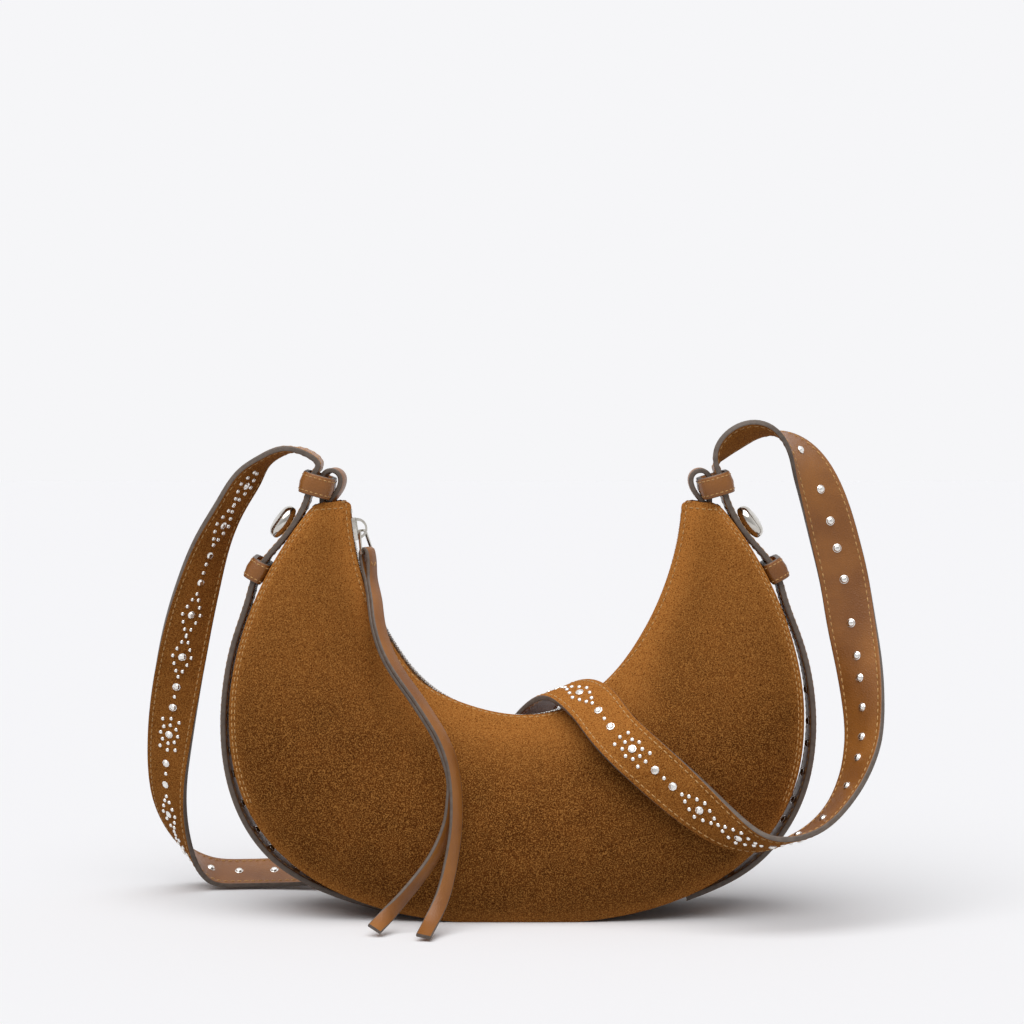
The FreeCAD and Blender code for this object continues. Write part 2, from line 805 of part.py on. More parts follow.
def stud_screw(side):
    inside = vec(0, 0, -gusset_thickness)
    head = Part.makeCylinder(screw_head / 2, screw_head_height, inside - up * screw_head_height)
    shank = Part.makeCylinder(stud_bore / 2 - stud_bore_gap, gusset_thickness, inside)
    return on_gusset(side * stud_angle, head.fuse(shank).removeSplitter())


nodes = {
    "front_panel": skin_panel(-1),
    "back_panel": skin_panel(1),
    "gusset": gusset_strip(mirrored_angles(base_strip_steps)),
    "front_lining": lining_panel(-1),
    "back_lining": lining_panel(1),
    "gusset_lining": gusset_lining(),
    "zip_tape_front": tape(-1),
    "zip_tape_back": tape(1),
    "zip_teeth_front": teeth(-1, 0),
    "zip_teeth_back": teeth(1, 0.5),
    "zip_top_stop": zip_stop(-1),
    "zip_bottom_stop": zip_stop(1),
    "zip_slider": slider(),
    "puller_link": puller_link(),
    "pull_thong": pull_thong(),
    "strap_suede": strap_suede(),
    "strap_backing": strap_backing(),
}
for name, side in (("left", -1), ("right", 1)):
    nodes[name + "_side_gusset"] = side_gusset(side)
    nodes[name + "_upper_keeper"] = upper_keeper(side)
    nodes[name + "_lower_keeper"] = lower_keeper(side)
    nodes[name + "_tab"] = tab(side)
    nodes[name + "_stud"] = stud(side)
    nodes[name + "_stud_screw"] = stud_screw(side)

for name, shape in nodes.items():
    shape.exportStep("parts/" + name + ".step")
    print(name, len(shape.Solids), shape.isValid(), round(shape.Volume), shape.BoundBox)
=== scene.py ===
import json
import math

import bpy
import numpy as np
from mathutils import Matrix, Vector, noise


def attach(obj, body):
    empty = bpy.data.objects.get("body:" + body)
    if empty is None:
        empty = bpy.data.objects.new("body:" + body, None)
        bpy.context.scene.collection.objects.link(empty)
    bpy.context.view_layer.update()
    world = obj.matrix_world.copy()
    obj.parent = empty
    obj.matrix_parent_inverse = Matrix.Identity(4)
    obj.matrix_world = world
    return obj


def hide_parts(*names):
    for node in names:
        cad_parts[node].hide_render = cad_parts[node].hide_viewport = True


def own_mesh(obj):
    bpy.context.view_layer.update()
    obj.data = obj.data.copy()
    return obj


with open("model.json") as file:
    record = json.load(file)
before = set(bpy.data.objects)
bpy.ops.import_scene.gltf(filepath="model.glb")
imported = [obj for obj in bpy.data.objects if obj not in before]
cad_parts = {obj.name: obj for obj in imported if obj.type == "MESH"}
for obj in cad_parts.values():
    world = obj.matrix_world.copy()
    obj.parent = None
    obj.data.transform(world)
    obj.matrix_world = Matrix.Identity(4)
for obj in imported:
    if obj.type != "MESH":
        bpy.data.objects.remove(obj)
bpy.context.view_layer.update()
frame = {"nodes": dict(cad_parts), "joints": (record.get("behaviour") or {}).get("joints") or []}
joints = {joint["name"]: joint for joint in frame["joints"]}
mm = 0.001


def addObject(name, data):
    added = bpy.data.objects.new(name, data)
    bpy.context.scene.collection.objects.link(added)
    return added


# Camera: a long lens a little above the bag
shot = {"lens": 100.0, "sensor": 36.0, "place": (-0.0026, -1.635, 0.317), "tiltAngle": 87.0}
lens = bpy.data.cameras.new("shot")
lens.lens = shot["lens"]
lens.sensor_width = shot["sensor"]
viewer = addObject("shot", lens)
viewer.location = shot["place"]
viewer.rotation_euler = (math.radians(shot["tiltAngle"]), 0, 0)
bpy.context.scene.camera = viewer
print("camera placed")


# Finishes

def linear(hexColour):
    channels = [int(hexColour[spot:spot + 2], 16) / 255 for spot in (1, 3, 5)]
    bent = [c / 12.92 if c <= 0.04045 else ((c + 0.055) / 1.055) ** 2.4 for c in channels]
    return (*bent, 1.0)


def perMetre(size):
    return 1 / (size * mm)  # texture scale for a pattern of that size in mm


def setNode(tree, node, settings, links):
    for name, value in settings.items():
        if name == "stops":  # the two (place, colour) pairs of a colour ramp
            for stop, (place, colour) in zip(node.color_ramp.elements, value):
                stop.position = place
                stop.color = linear(colour)
        elif isinstance(name, int) or name in node.inputs:
            node.inputs[name].default_value = value
        else:
            setattr(node, name, value)
    for name, source in links.items():
        tree.links.new(source, node.inputs[name])


def addNode(tree, kind, settings, links, output=0):
    node = tree.nodes.new("ShaderNode" + kind)
    setNode(tree, node, settings, links)
    return node.outputs[output]


def mixFinish(name, recipe, look):
    # A recipe gives the shader's plain settings and what feeds its other sockets
    finish = bpy.data.materials.new(name)
    finish.use_nodes = True
    tree = finish.node_tree
    where = {"Vector": addNode(tree, "TexCoord", {}, {}, "Object")}
    setNode(tree, tree.nodes["Principled BSDF"], *recipe(tree, where, look))
    return finish


def brushedSuede(tree, where, look):
    # Brushed split suede: no shine, a nap that lies in darker and lighter patches, pale golden flecks
    layers = []
    for size, detail, roughness in (("patchSize", 4.0, 0.6), ("napSize", 2.0, 0.6), ("fleckSize", 1.0, 0.5)):
        grain = {"Scale": perMetre(look[size]), "Detail": detail, "Roughness": roughness}
        layers.append(addNode(tree, "TexNoise", grain, where))
    patch, nap, fleck = layers
    ground = addNode(tree, "ValToRGB", {"stops": ((0.25, look["deep"]), (0.75, look["mid"]))}, {"Fac": patch})
    height = addNode(tree, "SeparateXYZ", {}, where, 2)
    # Painted highlight: the suede is painted paler towards the tips by height, and along the lip and seam
    # edges and up-facing strap that the attribute marks
    low, high = look["rubHeights"]
    upper = {"From Min": low * mm, "From Max": high * mm, "To Max": look["rubShare"]}
    paintedHeightLight = addNode(tree, "MapRange", upper, {"Value": height})
    edge = addNode(tree, "Attribute", {"attribute_name": "wear"}, {}, "Fac")
    rub = addNode(tree, "Math", {"operation": "MULTIPLY_ADD", 1: look["wearShare"]}, {0: edge, 2: paintedHeightLight})
    paler = addNode(tree, "Mix", {"data_type": "RGBA", 7: linear(look["rub"])}, {0: rub, 6: ground}, 2)
    dark = addNode(tree, "ValToRGB", {"stops": ((0.34, look["pit"]), (0.52, "#ffffff"))}, {"Fac": nap})
    worn = addNode(tree, "Mix", {"data_type": "RGBA", "blend_type": "MULTIPLY", 0: 1.0},
                   {6: paler, 7: dark}, 2)
    low, high = look["fleckRange"]
    bright = addNode(tree, "MapRange", {"From Min": low, "From Max": high, "To Max": look["fleckShare"]},
                     {"Value": fleck})
    flecked = addNode(tree, "Mix", {"data_type": "RGBA", 7: linear(look["fleck"])}, {0: bright, 6: worn}, 2)
    bump = addNode(tree, "Bump", {"Strength": 0.5, "Distance": 0.35 * mm}, {"Height": nap})
    settings = {"Roughness": 0.95, "Specular IOR Level": 0.05, "Sheen Weight": look["glow"],
                "Sheen Roughness": 0.4, "Sheen Tint": linear(look["fleck"])}
    return settings, {"Base Color": flecked, "Normal": bump}


def waxedLeather(tree, where, look):
    # Smooth cowhide with a thin wax finish: even brown, a fine pebbled grain and a soft shine
    cloud = addNode(tree, "TexNoise", {"Scale": perMetre(look["cloudSize"]), "Detail": 3.0}, where)
    tone = addNode(tree, "ValToRGB", {"stops": ((0.3, look["deep"]), (0.7, look["mid"]))}, {"Fac": cloud})
    grain = addNode(tree, "TexVoronoi",
                    {"feature": "DISTANCE_TO_EDGE", "Scale": perMetre(look["grainSize"])}, where)
    crease = addNode(tree, "TexNoise",
                     {"Scale": perMetre(look["creaseSize"]), "Detail": 5.0, "Roughness": 0.65}, where)
    low, high = look["shine"]
    shine = addNode(tree, "MapRange", {"To Min": low, "To Max": high}, {"Value": crease})
    pebbled = addNode(tree, "Bump", {"Strength": 0.5, "Distance": 0.4 * mm}, {"Height": grain})
    creased = addNode(tree, "Bump", {"Strength": 0.35, "Distance": 0.5 * mm},
                      {"Height": crease, "Normal": pebbled})
    return {"Specular IOR Level": 0.5}, {"Base Color": tone, "Roughness": shine, "Normal": creased}


def edgePaint(tree, where, look):
    # Edge paint rubbed on in layers: half matt, an even taupe with faint streaks
    streak = addNode(tree, "TexNoise", {"Scale": perMetre(look["streakSize"]), "Detail": 3.0}, where)
    tone = addNode(tree, "ValToRGB", {"stops": ((0.3, look["deep"]), (0.7, look["mid"]))}, {"Fac": streak})
    low, high = look["shine"]
    shine = addNode(tree, "MapRange", {"To Min": low, "To Max": high}, {"Value": streak})
    bump = addNode(tree, "Bump", {"Strength": 0.15, "Distance": 0.2 * mm}, {"Height": streak})
    return {"Specular IOR Level": 0.45}, {"Base Color": tone, "Roughness": shine, "Normal": bump}


def waxedThread(tree, where, look):
    # Waxed polyester thread: tan, dull, with the twist of its plies, drawn coarse enough to show
    ply = addNode(tree, "TexNoise", {"Scale": perMetre(look["plySize"]), "Detail": 1.0}, where)
    tone = addNode(tree, "ValToRGB", {"stops": ((0.35, look["deep"]), (0.65, look["mid"]))}, {"Fac": ply})
    bump = addNode(tree, "Bump", {"Strength": 0.4, "Distance": 0.1 * mm}, {"Height": ply})
    return {"Roughness": 0.7, "Sheen Weight": 0.2}, {"Base Color": tone, "Normal": bump}


def polishedNickel(tree, where, look):
    # Nickel plate over zinc, buffed: a bright mirror with a faint warm cast and small rubs
    rub = addNode(tree, "TexNoise", {"Scale": perMetre(look["rubSize"]), "Detail": 4.0}, where)
    tone = addNode(tree, "ValToRGB", {"stops": ((0.3, look["deep"]), (0.7, look["mid"]))}, {"Fac": rub})
    low, high = look["shine"]
    shine = addNode(tree, "MapRange", {"To Min": low, "To Max": high}, {"Value": rub})
    return {"Metallic": 1.0}, {"Base Color": tone, "Roughness": shine}


def wovenCloth(tree, where, look):
    # Woven polyester: two sets of threads that cross, seen as a rib drawn coarse enough to show
    ribs = perMetre(look["ribSize"]) * 2 * math.pi / 20  # a wave of scale 1 turns 20 radians in a metre
    bands = []
    for direction in ("X", "Z"):
        stripes = {"bands_direction": direction, "Scale": ribs, "Distortion": 0.6}
        bands.append(addNode(tree, "TexWave", stripes, where, 1))
    weave = addNode(tree, "Math", {"operation": "MULTIPLY"}, {0: bands[0], 1: bands[1]})
    tone = addNode(tree, "ValToRGB", {"stops": ((0.0, look["deep"]), (0.6, look["mid"]))}, {"Fac": weave})
    bump = addNode(tree, "Bump", {"Strength": 0.4, "Distance": 0.2 * mm}, {"Height": weave})
    return {"Roughness": 0.85, "Specular IOR Level": 0.2}, {"Base Color": tone, "Normal": bump}


# The rub colour is the paler suede of the painted highlight at the tips, lip, seam edges and up-facing strap
suedeLook = {"pit": "#a8927a", "deep": "#542c0b", "mid": "#704017", "rub": "#bb7838",
             "rubHeights": (100.0, 245.0), "rubShare": 0.62, "wearShare": 0.62, "fleck": "#c88c48",
             "fleckRange": (0.46, 0.68), "fleckShare": 0.54, "glow": 0.12, "patchSize": 22.0, "napSize": 0.75,
             "fleckSize": 0.65}
strapSuedeLook = {**suedeLook, "deep": "#7f4b1b", "mid": "#a0642c", "rubShare": 0.0}
leatherLook = {"deep": "#804d1e", "mid": "#a0662c", "cloudSize": 30.0, "grainSize": 1.5, "creaseSize": 5.0,
               "shine": (0.30, 0.48)}
paintLook = {"deep": "#5d5148", "mid": "#71645a", "streakSize": 3.0, "shine": (0.42, 0.60)}
threadLook = {"deep": "#a8783f", "mid": "#d3a668", "plySize": 0.5}
nickelLook = {"deep": "#b9b4ab", "mid": "#dad6ce", "rubSize": 4.0, "shine": (0.10, 0.18)}
zipLook = {"deep": "#b4afa6", "mid": "#d8d4cb", "rubSize": 3.0, "shine": (0.14, 0.22)}
trimLook = {"deep": "#e4e1da", "mid": "#f4f2ee", "rubSize": 2.0, "shine": (0.19, 0.27)}
tapeLook = {"deep": "#4a2f17", "mid": "#74502c", "ribSize": 3.1416}
liningLook = {"deep": "#6b5138", "mid": "#8a6c4c", "ribSize": 3.1416}

suede = mixFinish("brushedSuede", brushedSuede, suedeLook)
strapSuede = mixFinish("strapSuede", brushedSuede, strapSuedeLook)
leather = mixFinish("waxedLeather", waxedLeather, leatherLook)
paint = mixFinish("edgePaint", edgePaint, paintLook)
thread = mixFinish("waxedThread", waxedThread, threadLook)
nickel = mixFinish("polishedNickel", polishedNickel, nickelLook)
zipNickel = mixFinish("zipNickel", polishedNickel, zipLook)
trimNickel = mixFinish("trimNickel", polishedNickel, trimLook)
tapeCloth = mixFinish("zipTapeWeave", wovenCloth, tapeLook)
liningCloth = mixFinish("liningWeave", wovenCloth, liningLook)
print("finishes mixed")


# Mesh helpers, in mm

def unit(direction):
    return direction / np.linalg.norm(direction, axis=-1, keepdims=True)


def makePiece(name, points, faces, finishes, slot, faceFinish=None, body="bag", standsFor=(), sharpAngle=50.0,
              wear=None):
    mesh = bpy.data.meshes.new(name)
    mesh.from_pydata((np.asarray(points) * mm).tolist(), [], faces)
    for finish in finishes:
        mesh.materials.append(finish)
    if faceFinish is not None:
        mesh.polygons.foreach_set("material_index", faceFinish)
    if wear is not None:  # 0 to 1 at each point: the share of painted highlight that the suede gets
        mesh.attributes.new("wear", "FLOAT", "POINT").data.foreach_set("value", wear)
    mesh.polygons.foreach_set("use_smooth", [True] * len(mesh.polygons))
    mesh.set_sharp_from_angle(angle=math.radians(sharpAngle))
    mesh.validate()
    piece = addObject(name, mesh)
    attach(piece, body)
    if standsFor:
        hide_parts(*standsFor)
    return piece


def skinRings(rings, looped=False, edgeFinish=None, capFinish=0):
    # Faces over rings of equal size; a ring's two ends meet, and end caps are ladders of quads
    count, size = len(rings), len(rings[0])
    points = np.asarray(rings).reshape(-1, 3)
    faces, finish = [], []
    for ring in range(count if looped else count - 1):
        low, high = ring * size, (ring + 1) % count * size
        for spot in range(size):
            after = (spot + 1) % size
            faces.append((low + spot, low + after, high + after, high + spot))
            finish.append(edgeFinish[spot] if edgeFinish else 0)
    if not looped:
        for base, turn in ((0, 1), ((count - 1) * size, -1)):
            for spot in range(size // 2 - 1):
                ladder = (spot, size - 1 - spot, size - 2 - spot, spot + 1)[::turn]
                faces.append(tuple(base + step for step in ladder))
                finish.append(capFinish)
    return points, faces, finish


def ringPiece(name, rings, finishes, slot, looped=False, edges=None, cap=0, **rest):
    points, faces, used = skinRings(rings, looped, edges, cap)
    return makePiece(name, points, faces, finishes, slot, faceFinish=used, **rest)


def stampPiece(name, shape, places, finish, slot, **rest):
    # Copies of a small shape, each at an origin with its own three axes
    corners, sides = shape
    points, faces = [], []
    for origin, axes in places:
        shift = len(points) * len(corners)
        points.append(origin + corners @ axes)
        faces += [[spot + shift for spot in side] for side in sides]
    return makePiece(name, np.concatenate(points), faces, [finish], slot, **rest)


def fairCurve(marks, values):
    # A natural cubic through the values
    marks, values = np.asarray(marks, float), np.asarray(values, float)
    gaps = np.diff(marks)
    system, load = np.eye(len(marks)), np.zeros_like(values)
    for spot in range(1, len(marks) - 1):
        system[spot, spot - 1:spot + 2] = gaps[spot - 1], 2 * (gaps[spot - 1] + gaps[spot]), gaps[spot]
        load[spot] = 6 * ((values[spot + 1] - values[spot]) / gaps[spot]
                          - (values[spot] - values[spot - 1]) / gaps[spot - 1])
    bends = np.linalg.solve(system, load)

    def at(place):
        spot = np.clip(np.searchsorted(marks, place, side="right") - 1, 0, len(gaps) - 1)
        gap = gaps[spot]
        after = (place - marks[spot]) / gap
        if values.ndim > 1:
            gap, after = gap[..., None], after[..., None]
        before = 1 - after
        bow = (before ** 3 - before) * bends[spot] + (after ** 3 - after) * bends[spot + 1]
        return before * values[spot] + after * values[spot + 1] + bow * gap ** 2 / 6

    return at


def runLengths(points):
    return np.concatenate([[0], np.cumsum(np.linalg.norm(np.diff(points, axis=0), axis=1))])


def stepAt(marks, distance):
    # The step that a distance falls in, and the share of it that is passed
    spot = int(np.clip(np.searchsorted(marks, distance), 1, len(marks) - 1))
    return spot, (distance - marks[spot - 1]) / (marks[spot] - marks[spot - 1])


def between(values, spot, share):
    return values[spot - 1] * (1 - share) + values[spot] * share


def roundTurns(sides, twist=0.0):
    return 2 * np.pi * (np.arange(sides) + twist) / sides


def hump(distance, width):
    return np.exp(-(distance / width) ** 2)


stitchForm = {"pitch": 3.7, "lengthShare": 0.74, "radius": 0.36, "sides": 6,
              "profile": ((-0.5, 0.3, -0.9), (-0.38, 0.85, -0.1), (0.0, 1.0, 0.25), (0.38, 0.85, -0.1),
                          (0.5, 0.3, -0.9))}


def stitchShape(pitch):
    # One thread hump: both ends dive into the hide
    radius, sides = stitchForm["radius"], stitchForm["sides"]
    turns = roundTurns(sides)
    rings = []
    for along, girth, rise in stitchForm["profile"]:
        run = np.full(sides, along * pitch * stitchForm["lengthShare"])
        across, level = radius * girth * np.cos(turns), radius * (girth * np.sin(turns) + rise)
        rings.append(np.stack([run, across, level], axis=1))
    return skinRings(rings)[:2]


def stitchPlaces(points, normals, pitch):
    # An origin and axes for each stitch, one pitch apart along a run of points
    lengths = runLengths(points)
    places = []
    for distance in np.arange(pitch / 2, lengths[-1], pitch):
        spot, share = stepAt(lengths, distance)
        along = unit(points[spot] - points[spot - 1])
        across = unit(np.cross(between(normals, spot, share), along))
        places.append((between(points, spot, share), np.array([along, across, np.cross(along, across)])))
    return places


def sewRows(name, rows, pitch):
    # Rows of (points, normals) become one piece of thread
    places = []
    for points, normals in rows:
        places += stitchPlaces(points, normals, pitch)
    return stampPiece(name, stitchShape(pitch), places, thread, "smooth_leather")


# Form of the bag: the same arcs, contour and depths as the solids
bag = {"halfWidth": 163.8, "widestHeight": 118.0, "upperReach": 181.5, "baseSink": 1.2,
       "lowerFullness": 2.4, "upperFullness": 1.8, "crookHeight": 112.0, "crookRadius": 80.0,
       "crookAngle": 54.0, "hornRadius": 170.0, "tipAngle": 87.0, "baseDepth": 72.0, "zipGap": 12.0,
       "bellyShare": 0.18, "skin": 1.8, "gussetThickness": 3.0, "gussetSink": 1.5, "seamGap": 0.3,
       "stations": (0.0, 0.16, 0.31, 0.47, 0.62, 0.72, 0.82, 0.91, 0.97, 1.0),
       "depths": (1.0, 0.98, 0.94, 0.89, 0.81, 0.70, 0.59, 0.50, 0.42, 0.31),
       "lips": (1.0, 1.0, 1.0, 1.0, 1.0, 1.0, 1.0, 1.0, 1.0, 0.83),
       "sinks": (0.0, 0.0, 0.0, 0.0, 0.3, 0.6, 0.9, 1.0, 1.0, 1.0)}
crookCentre = np.array((0, 0, bag["crookHeight"] + bag["crookRadius"]))
backward = np.array((0.0, 1.0, 0.0))
bagSides = (("left", -1), ("right", 1))
stationCurves = {name: fairCurve(bag["stations"], bag[name]) for name in ("depths", "lips", "sinks")}


def stationValue(name, angle):
    return float(stationCurves[name](np.float64(min(abs(angle) / bag["tipAngle"], 1.0))))


def radial(angle):
    turn = math.radians(angle)
    return np.array((math.sin(turn), 0, -math.cos(turn)))


def lipPoint(angle):
    if abs(angle) <= bag["crookAngle"]:
        return crookCentre + radial(angle) * bag["crookRadius"]
    hornStep = bag["hornRadius"] - bag["crookRadius"]
    hornCentre = crookCentre - radial(math.copysign(bag["crookAngle"], angle)) * hornStep
    return hornCentre + radial(angle) * bag["hornRadius"]


def isOutside(point):
    rise = point[2] - bag["widestHeight"]
    span, power = bag["upperReach"], bag["upperFullness"]
    if rise < 0:
        span, power = bag["widestHeight"] + bag["baseSink"], bag["lowerFullness"]
    return (abs(point[0]) / bag["halfWidth"]) ** power + (abs(rise) / span) ** power > 1


def reach(angle):
    low, high = 0.0, 2 * bag["halfWidth"]
    for halving in range(40):
        middle = (low + high) / 2
        if isOutside(lipPoint(angle) + radial(angle) * middle):
            high = middle
        else:
            low = middle
    return low


def panelReach(angle):
    toFloor = lipPoint(angle)[2] / -radial(angle)[2]
    return (reach(angle) if toFloor <= 0 else min(reach(angle), toFloor)) - bag["seamGap"]


def halfDepth(angle):
    return bag["baseDepth"] / 2 * stationValue("depths", angle)


tipHeight = lipPoint(bag["tipAngle"])[2]

# Panels: turned edges at lip and seam, a swelling belly between
panelForm = {"columns": 180, "middleRows": 26, "edgeRoom": 2.4,
             "edgeRows": (0.0, 0.4, 0.8, 1.3, 1.8, 2.3, 2.9, 3.6, 4.4, 5.4, 6.6, 8.2),
             "lipHighlightWidths": (22.0, 9.0), "seamHighlightBand": 6.0, "seamHighlightShare": 0.6,
             "ridge": 0.45, "ridgeAt": 0.9, "ridgeWidth": 0.9, "groove": 0.4, "grooveWidth": 0.55,
             "lipStitches": (0.8, 1.9), "seamStitches": (1.7, 3.6), "seamAngles": (43.0, 50.0),
             "tipStitch": 3.4, "tipStitchRow": 6, "lumps": 0.9, "lumpSize": 55.0,
             "overhangAngle": 0.6, "tipCorner": 4.5, "tipSteps": (0.0, 0.08, 0.25, 0.5, 0.8, 1.15, 1.5),
             "fold": 1.3, "foldAngles": (0.0, 40.0), "foldAt": (12.0, 30.0), "foldWidths": (6.0, 11.0),
             "foldMiddle": 8.0, "foldSpread": 46.0,
             "roll": 3.0, "hornRollShare": 0.3, "rollAngles": (48.0, 60.0), "riseWidth": 5.0,
             "lipAngles": (-88.0, -80.0, -65.0, -50.0, -38.0, -30.0, 0.0, 18.0, 35.0, 88.0),
             "frontRises": (1.5, 1.0, 0.2, 0.0, 0.6, 2.0, 2.4, 1.2, 2.2, 1.8),
             "backRises": (1.5, 1.0, 0.8, 1.0, 1.5, 1.8, 1.6, 1.4, 1.8, 1.6)}
panelEnd = bag["tipAngle"] + panelForm["overhangAngle"]
tipAngles = panelEnd - np.array(panelForm["tipSteps"])
panelMiddle = np.linspace(-tipAngles[-1], tipAngles[-1], panelForm["columns"] + 1)[1:-1]
panelAngles = np.concatenate([-tipAngles, panelMiddle, tipAngles[::-1]])
lipStitch = np.interp(np.abs(panelAngles), panelForm["rollAngles"], panelForm["lipStitches"])
lipRises = {-1: fairCurve(panelForm["lipAngles"], panelForm["frontRises"]),
            1: fairCurve(panelForm["lipAngles"], panelForm["backRises"])}


def panelRows(angle, length):
    # Close rows at both edges, drawn in to a round corner at the tip
    edge = np.array(panelForm["edgeRows"])
    edge *= min(1.0, length / (panelForm["edgeRoom"] * edge[-1]))
    middle = np.linspace(edge[-1], length - edge[-1], panelForm["middleRows"] + 2)[1:-1]
    corner = panelForm["tipCorner"]
    turn = max(0.0, 1 - math.radians(panelEnd - abs(angle)) * bag["hornRadius"] / corner)
    inset = corner * (1 - math.sqrt(1 - turn ** 2))
    return inset + np.concatenate([edge, middle, (length - edge)[::-1]]) * (1 - 2 * inset / length)


def hemRise(distance, stitchLines):
    # A turned hem stands proud at the edge, and each stitch line pulls it down
    rise = panelForm["ridge"] * hump(distance - panelForm["ridgeAt"], panelForm["ridgeWidth"])
    for line in stitchLines:
        rise = rise - panelForm["groove"] * hump(distance - line, panelForm["grooveWidth"])
    return rise


def panelDepth(angle, rows, length):
    share = rows / length
    lipHalf = bag["zipGap"] / 2 * stationValue("lips", angle)
    spread = halfDepth(angle) - lipHalf
    return lipHalf + spread * share + 4 * bag["bellyShare"] * length * share * (1 - share)


def panelColumn(angle, rows, length, side):
    # The lip stands up over the chain and, along the crook, rolls over towards it
    rollShare = np.interp(abs(angle), panelForm["rollAngles"], (1.0, panelForm["hornRollShare"]))
    roll = panelForm["roll"] * rollShare
    over = roll - np.sqrt(roll ** 2 - np.maximum(roll - rows, 0) ** 2)
    stand = lipRises[side](np.float64(angle)) * hump(rows, panelForm["riseWidth"])
    deep = panelDepth(angle, rows, length) - over
    return lipPoint(angle) + radial(angle) * (rows - stand)[:, None] + backward * (side * deep[:, None])


def panelGrid(side):
    grid, lengths, rows = [], [], []
    for angle in panelAngles:
        length = panelReach(angle)
        rows.append(panelRows(angle, length))
        lengths.append(length)
        grid.append(panelColumn(angle, rows[-1], length, side))
    grid, rows, lengths = np.array(grid), np.array(rows), np.array(lengths)
    normals = unit(np.cross(np.gradient(grid, axis=0), np.gradient(grid, axis=1)))
    normals *= np.sign(normals[..., 1:2] * side + 1e-9)
    rise = hemRise(rows, (lipStitch[:, None],))
    # The base rolls under, unsewn
    seam = np.interp(np.abs(panelAngles), panelForm["seamAngles"], (0.0, 1.0))[:, None]
    rise = rise + seam * hemRise(lengths[:, None] - rows, panelForm["seamStitches"])
    # A soft fold runs down to the right
    aside = (panelAngles - panelForm["foldMiddle"]) / panelForm["foldSpread"]
    near = np.cos(np.clip(aside, -1, 1) * math.pi / 2)[:, None]
    foldAt = np.interp(panelAngles, panelForm["foldAngles"], panelForm["foldAt"])[:, None]
    foldWidth = np.interp(panelAngles, panelForm["foldAngles"], panelForm["foldWidths"])[:, None]
    rise = rise + near * panelForm["fold"] * hump(rows - foldAt, foldWidth)
    for column in range(grid.shape[0]):
        for row in range(grid.shape[1]):
            share = rows[column, row] / lengths[column]
            lump = noise.noise(Vector(grid[column, row] / panelForm["lumpSize"]))
            rise[column, row] += panelForm["lumps"] * lump * math.sin(math.pi * share)
    return grid + normals * rise[..., None], normals, rows, lengths


def onPanel(grid, normals, rows, distances):
    # Points and normals of a line at a distance from the lip, one per column
    points, lifts = [], []
    for column, distance in enumerate(distances):
        points.append([np.interp(distance, rows[column], grid[column, :, axis]) for axis in range(3)])
        lifts.append([np.interp(distance, rows[column], normals[column, :, axis]) for axis in range(3)])
    return np.array(points), unit(np.array(lifts))


def makePanel(name, side):
    grid, normals, rows, lengths = panelGrid(side)
    inner = grid - normals * bag["skin"]
    rings = np.concatenate([grid, inner[:, ::-1]], axis=1)
    if side > 0:
        rings = rings[:, ::-1]
    # Painted highlight: the suede is painted paler in a band along the lip and a fainter band along the seam
    lipHighlightWidth = np.interp(np.abs(panelAngles), panelForm["rollAngles"], panelForm["lipHighlightWidths"])[:, None]
    seamHighlightBand = panelForm["seamHighlightShare"] * hump(lengths[:, None] - rows, panelForm["seamHighlightBand"])
    wear = np.maximum(hump(rows, lipHighlightWidth), seamHighlightBand)
    wear = np.concatenate([wear, wear[:, ::-1]], axis=1)
    ringPiece(name + "_panel_suede", rings, [suede], "suede", standsFor=(name + "_panel",), wear=wear.ravel())
    rowsSewn = [onPanel(grid, normals, rows, lipStitch)]
    for line in panelForm["seamStitches"]:
        sewnPoints, sewnLifts = onPanel(grid, normals, rows, lengths - line)
        for end in (-1, 1):
            sewn = (panelAngles * end > panelForm["seamAngles"][1]) & (panelAngles * end < bag["tipAngle"])
            rowsSewn.append((sewnPoints[sewn], sewnLifts[sewn]))
    for end in (0, -1):
        away = np.radians(np.abs(panelAngles - panelAngles[end])) * bag["hornRadius"]
        column = int(np.argmin(np.abs(away - panelForm["tipStitch"])))
        middle = slice(panelForm["tipStitchRow"], -panelForm["tipStitchRow"])
        rowsSewn.append((grid[column, middle], normals[column, middle]))
    sewRows(name + "_panel_stitches", rowsSewn, stitchForm["pitch"])


makePanel("front", -1)
makePanel("back", 1)
print("panels sewn")

# Tip caps: a scrap of suede closes each tip between the panels, below their edges
tipCap = {"sinkAngle": 0.9, "thickness": 1.4, "dome": 0.8, "rows": 12, "columns": 12, "endShare": 0.05}


def makeTipCap(name, side):
    angle = side * (panelEnd - tipCap["sinkAngle"])
    length = panelReach(angle)
    upTip = np.cross(backward, radial(angle)) * side
    across = np.linspace(-1, 1, tipCap["columns"] + 1)
    rings = []
    for share in np.linspace(tipCap["endShare"], 1 - tipCap["endShare"], tipCap["rows"] + 1):
        deep = panelDepth(angle, share * length, length) - bag["skin"] / 2
        swell = tipCap["dome"] * (1 - across ** 2) * math.sin(math.pi * share)
        row = lipPoint(angle) + radial(angle) * (share * length) + backward * (deep * across)[:, None]
        top, under = row + upTip * swell[:, None], row + upTip * (swell - tipCap["thickness"])[:, None]
        rings.append(np.concatenate([top, under[::-1]])[::side])
    ringPiece(name, rings, [suede], "suede")


for sideName, side in bagSides:
    makeTipCap(sideName + "_tip_cap", side)
print("tips closed")

# Gusset: its three strips as one suede band from tip to tip, flat where the bag stands
gussetForm = {"tuck": 1.3, "stitchInset": 3.7, "crown": 0.5, "floor": 0.5, "rows": 10, "columns": 180}


def sunkReach(angle):
    return reach(angle) - bag["gussetSink"] * stationValue("sinks", angle)


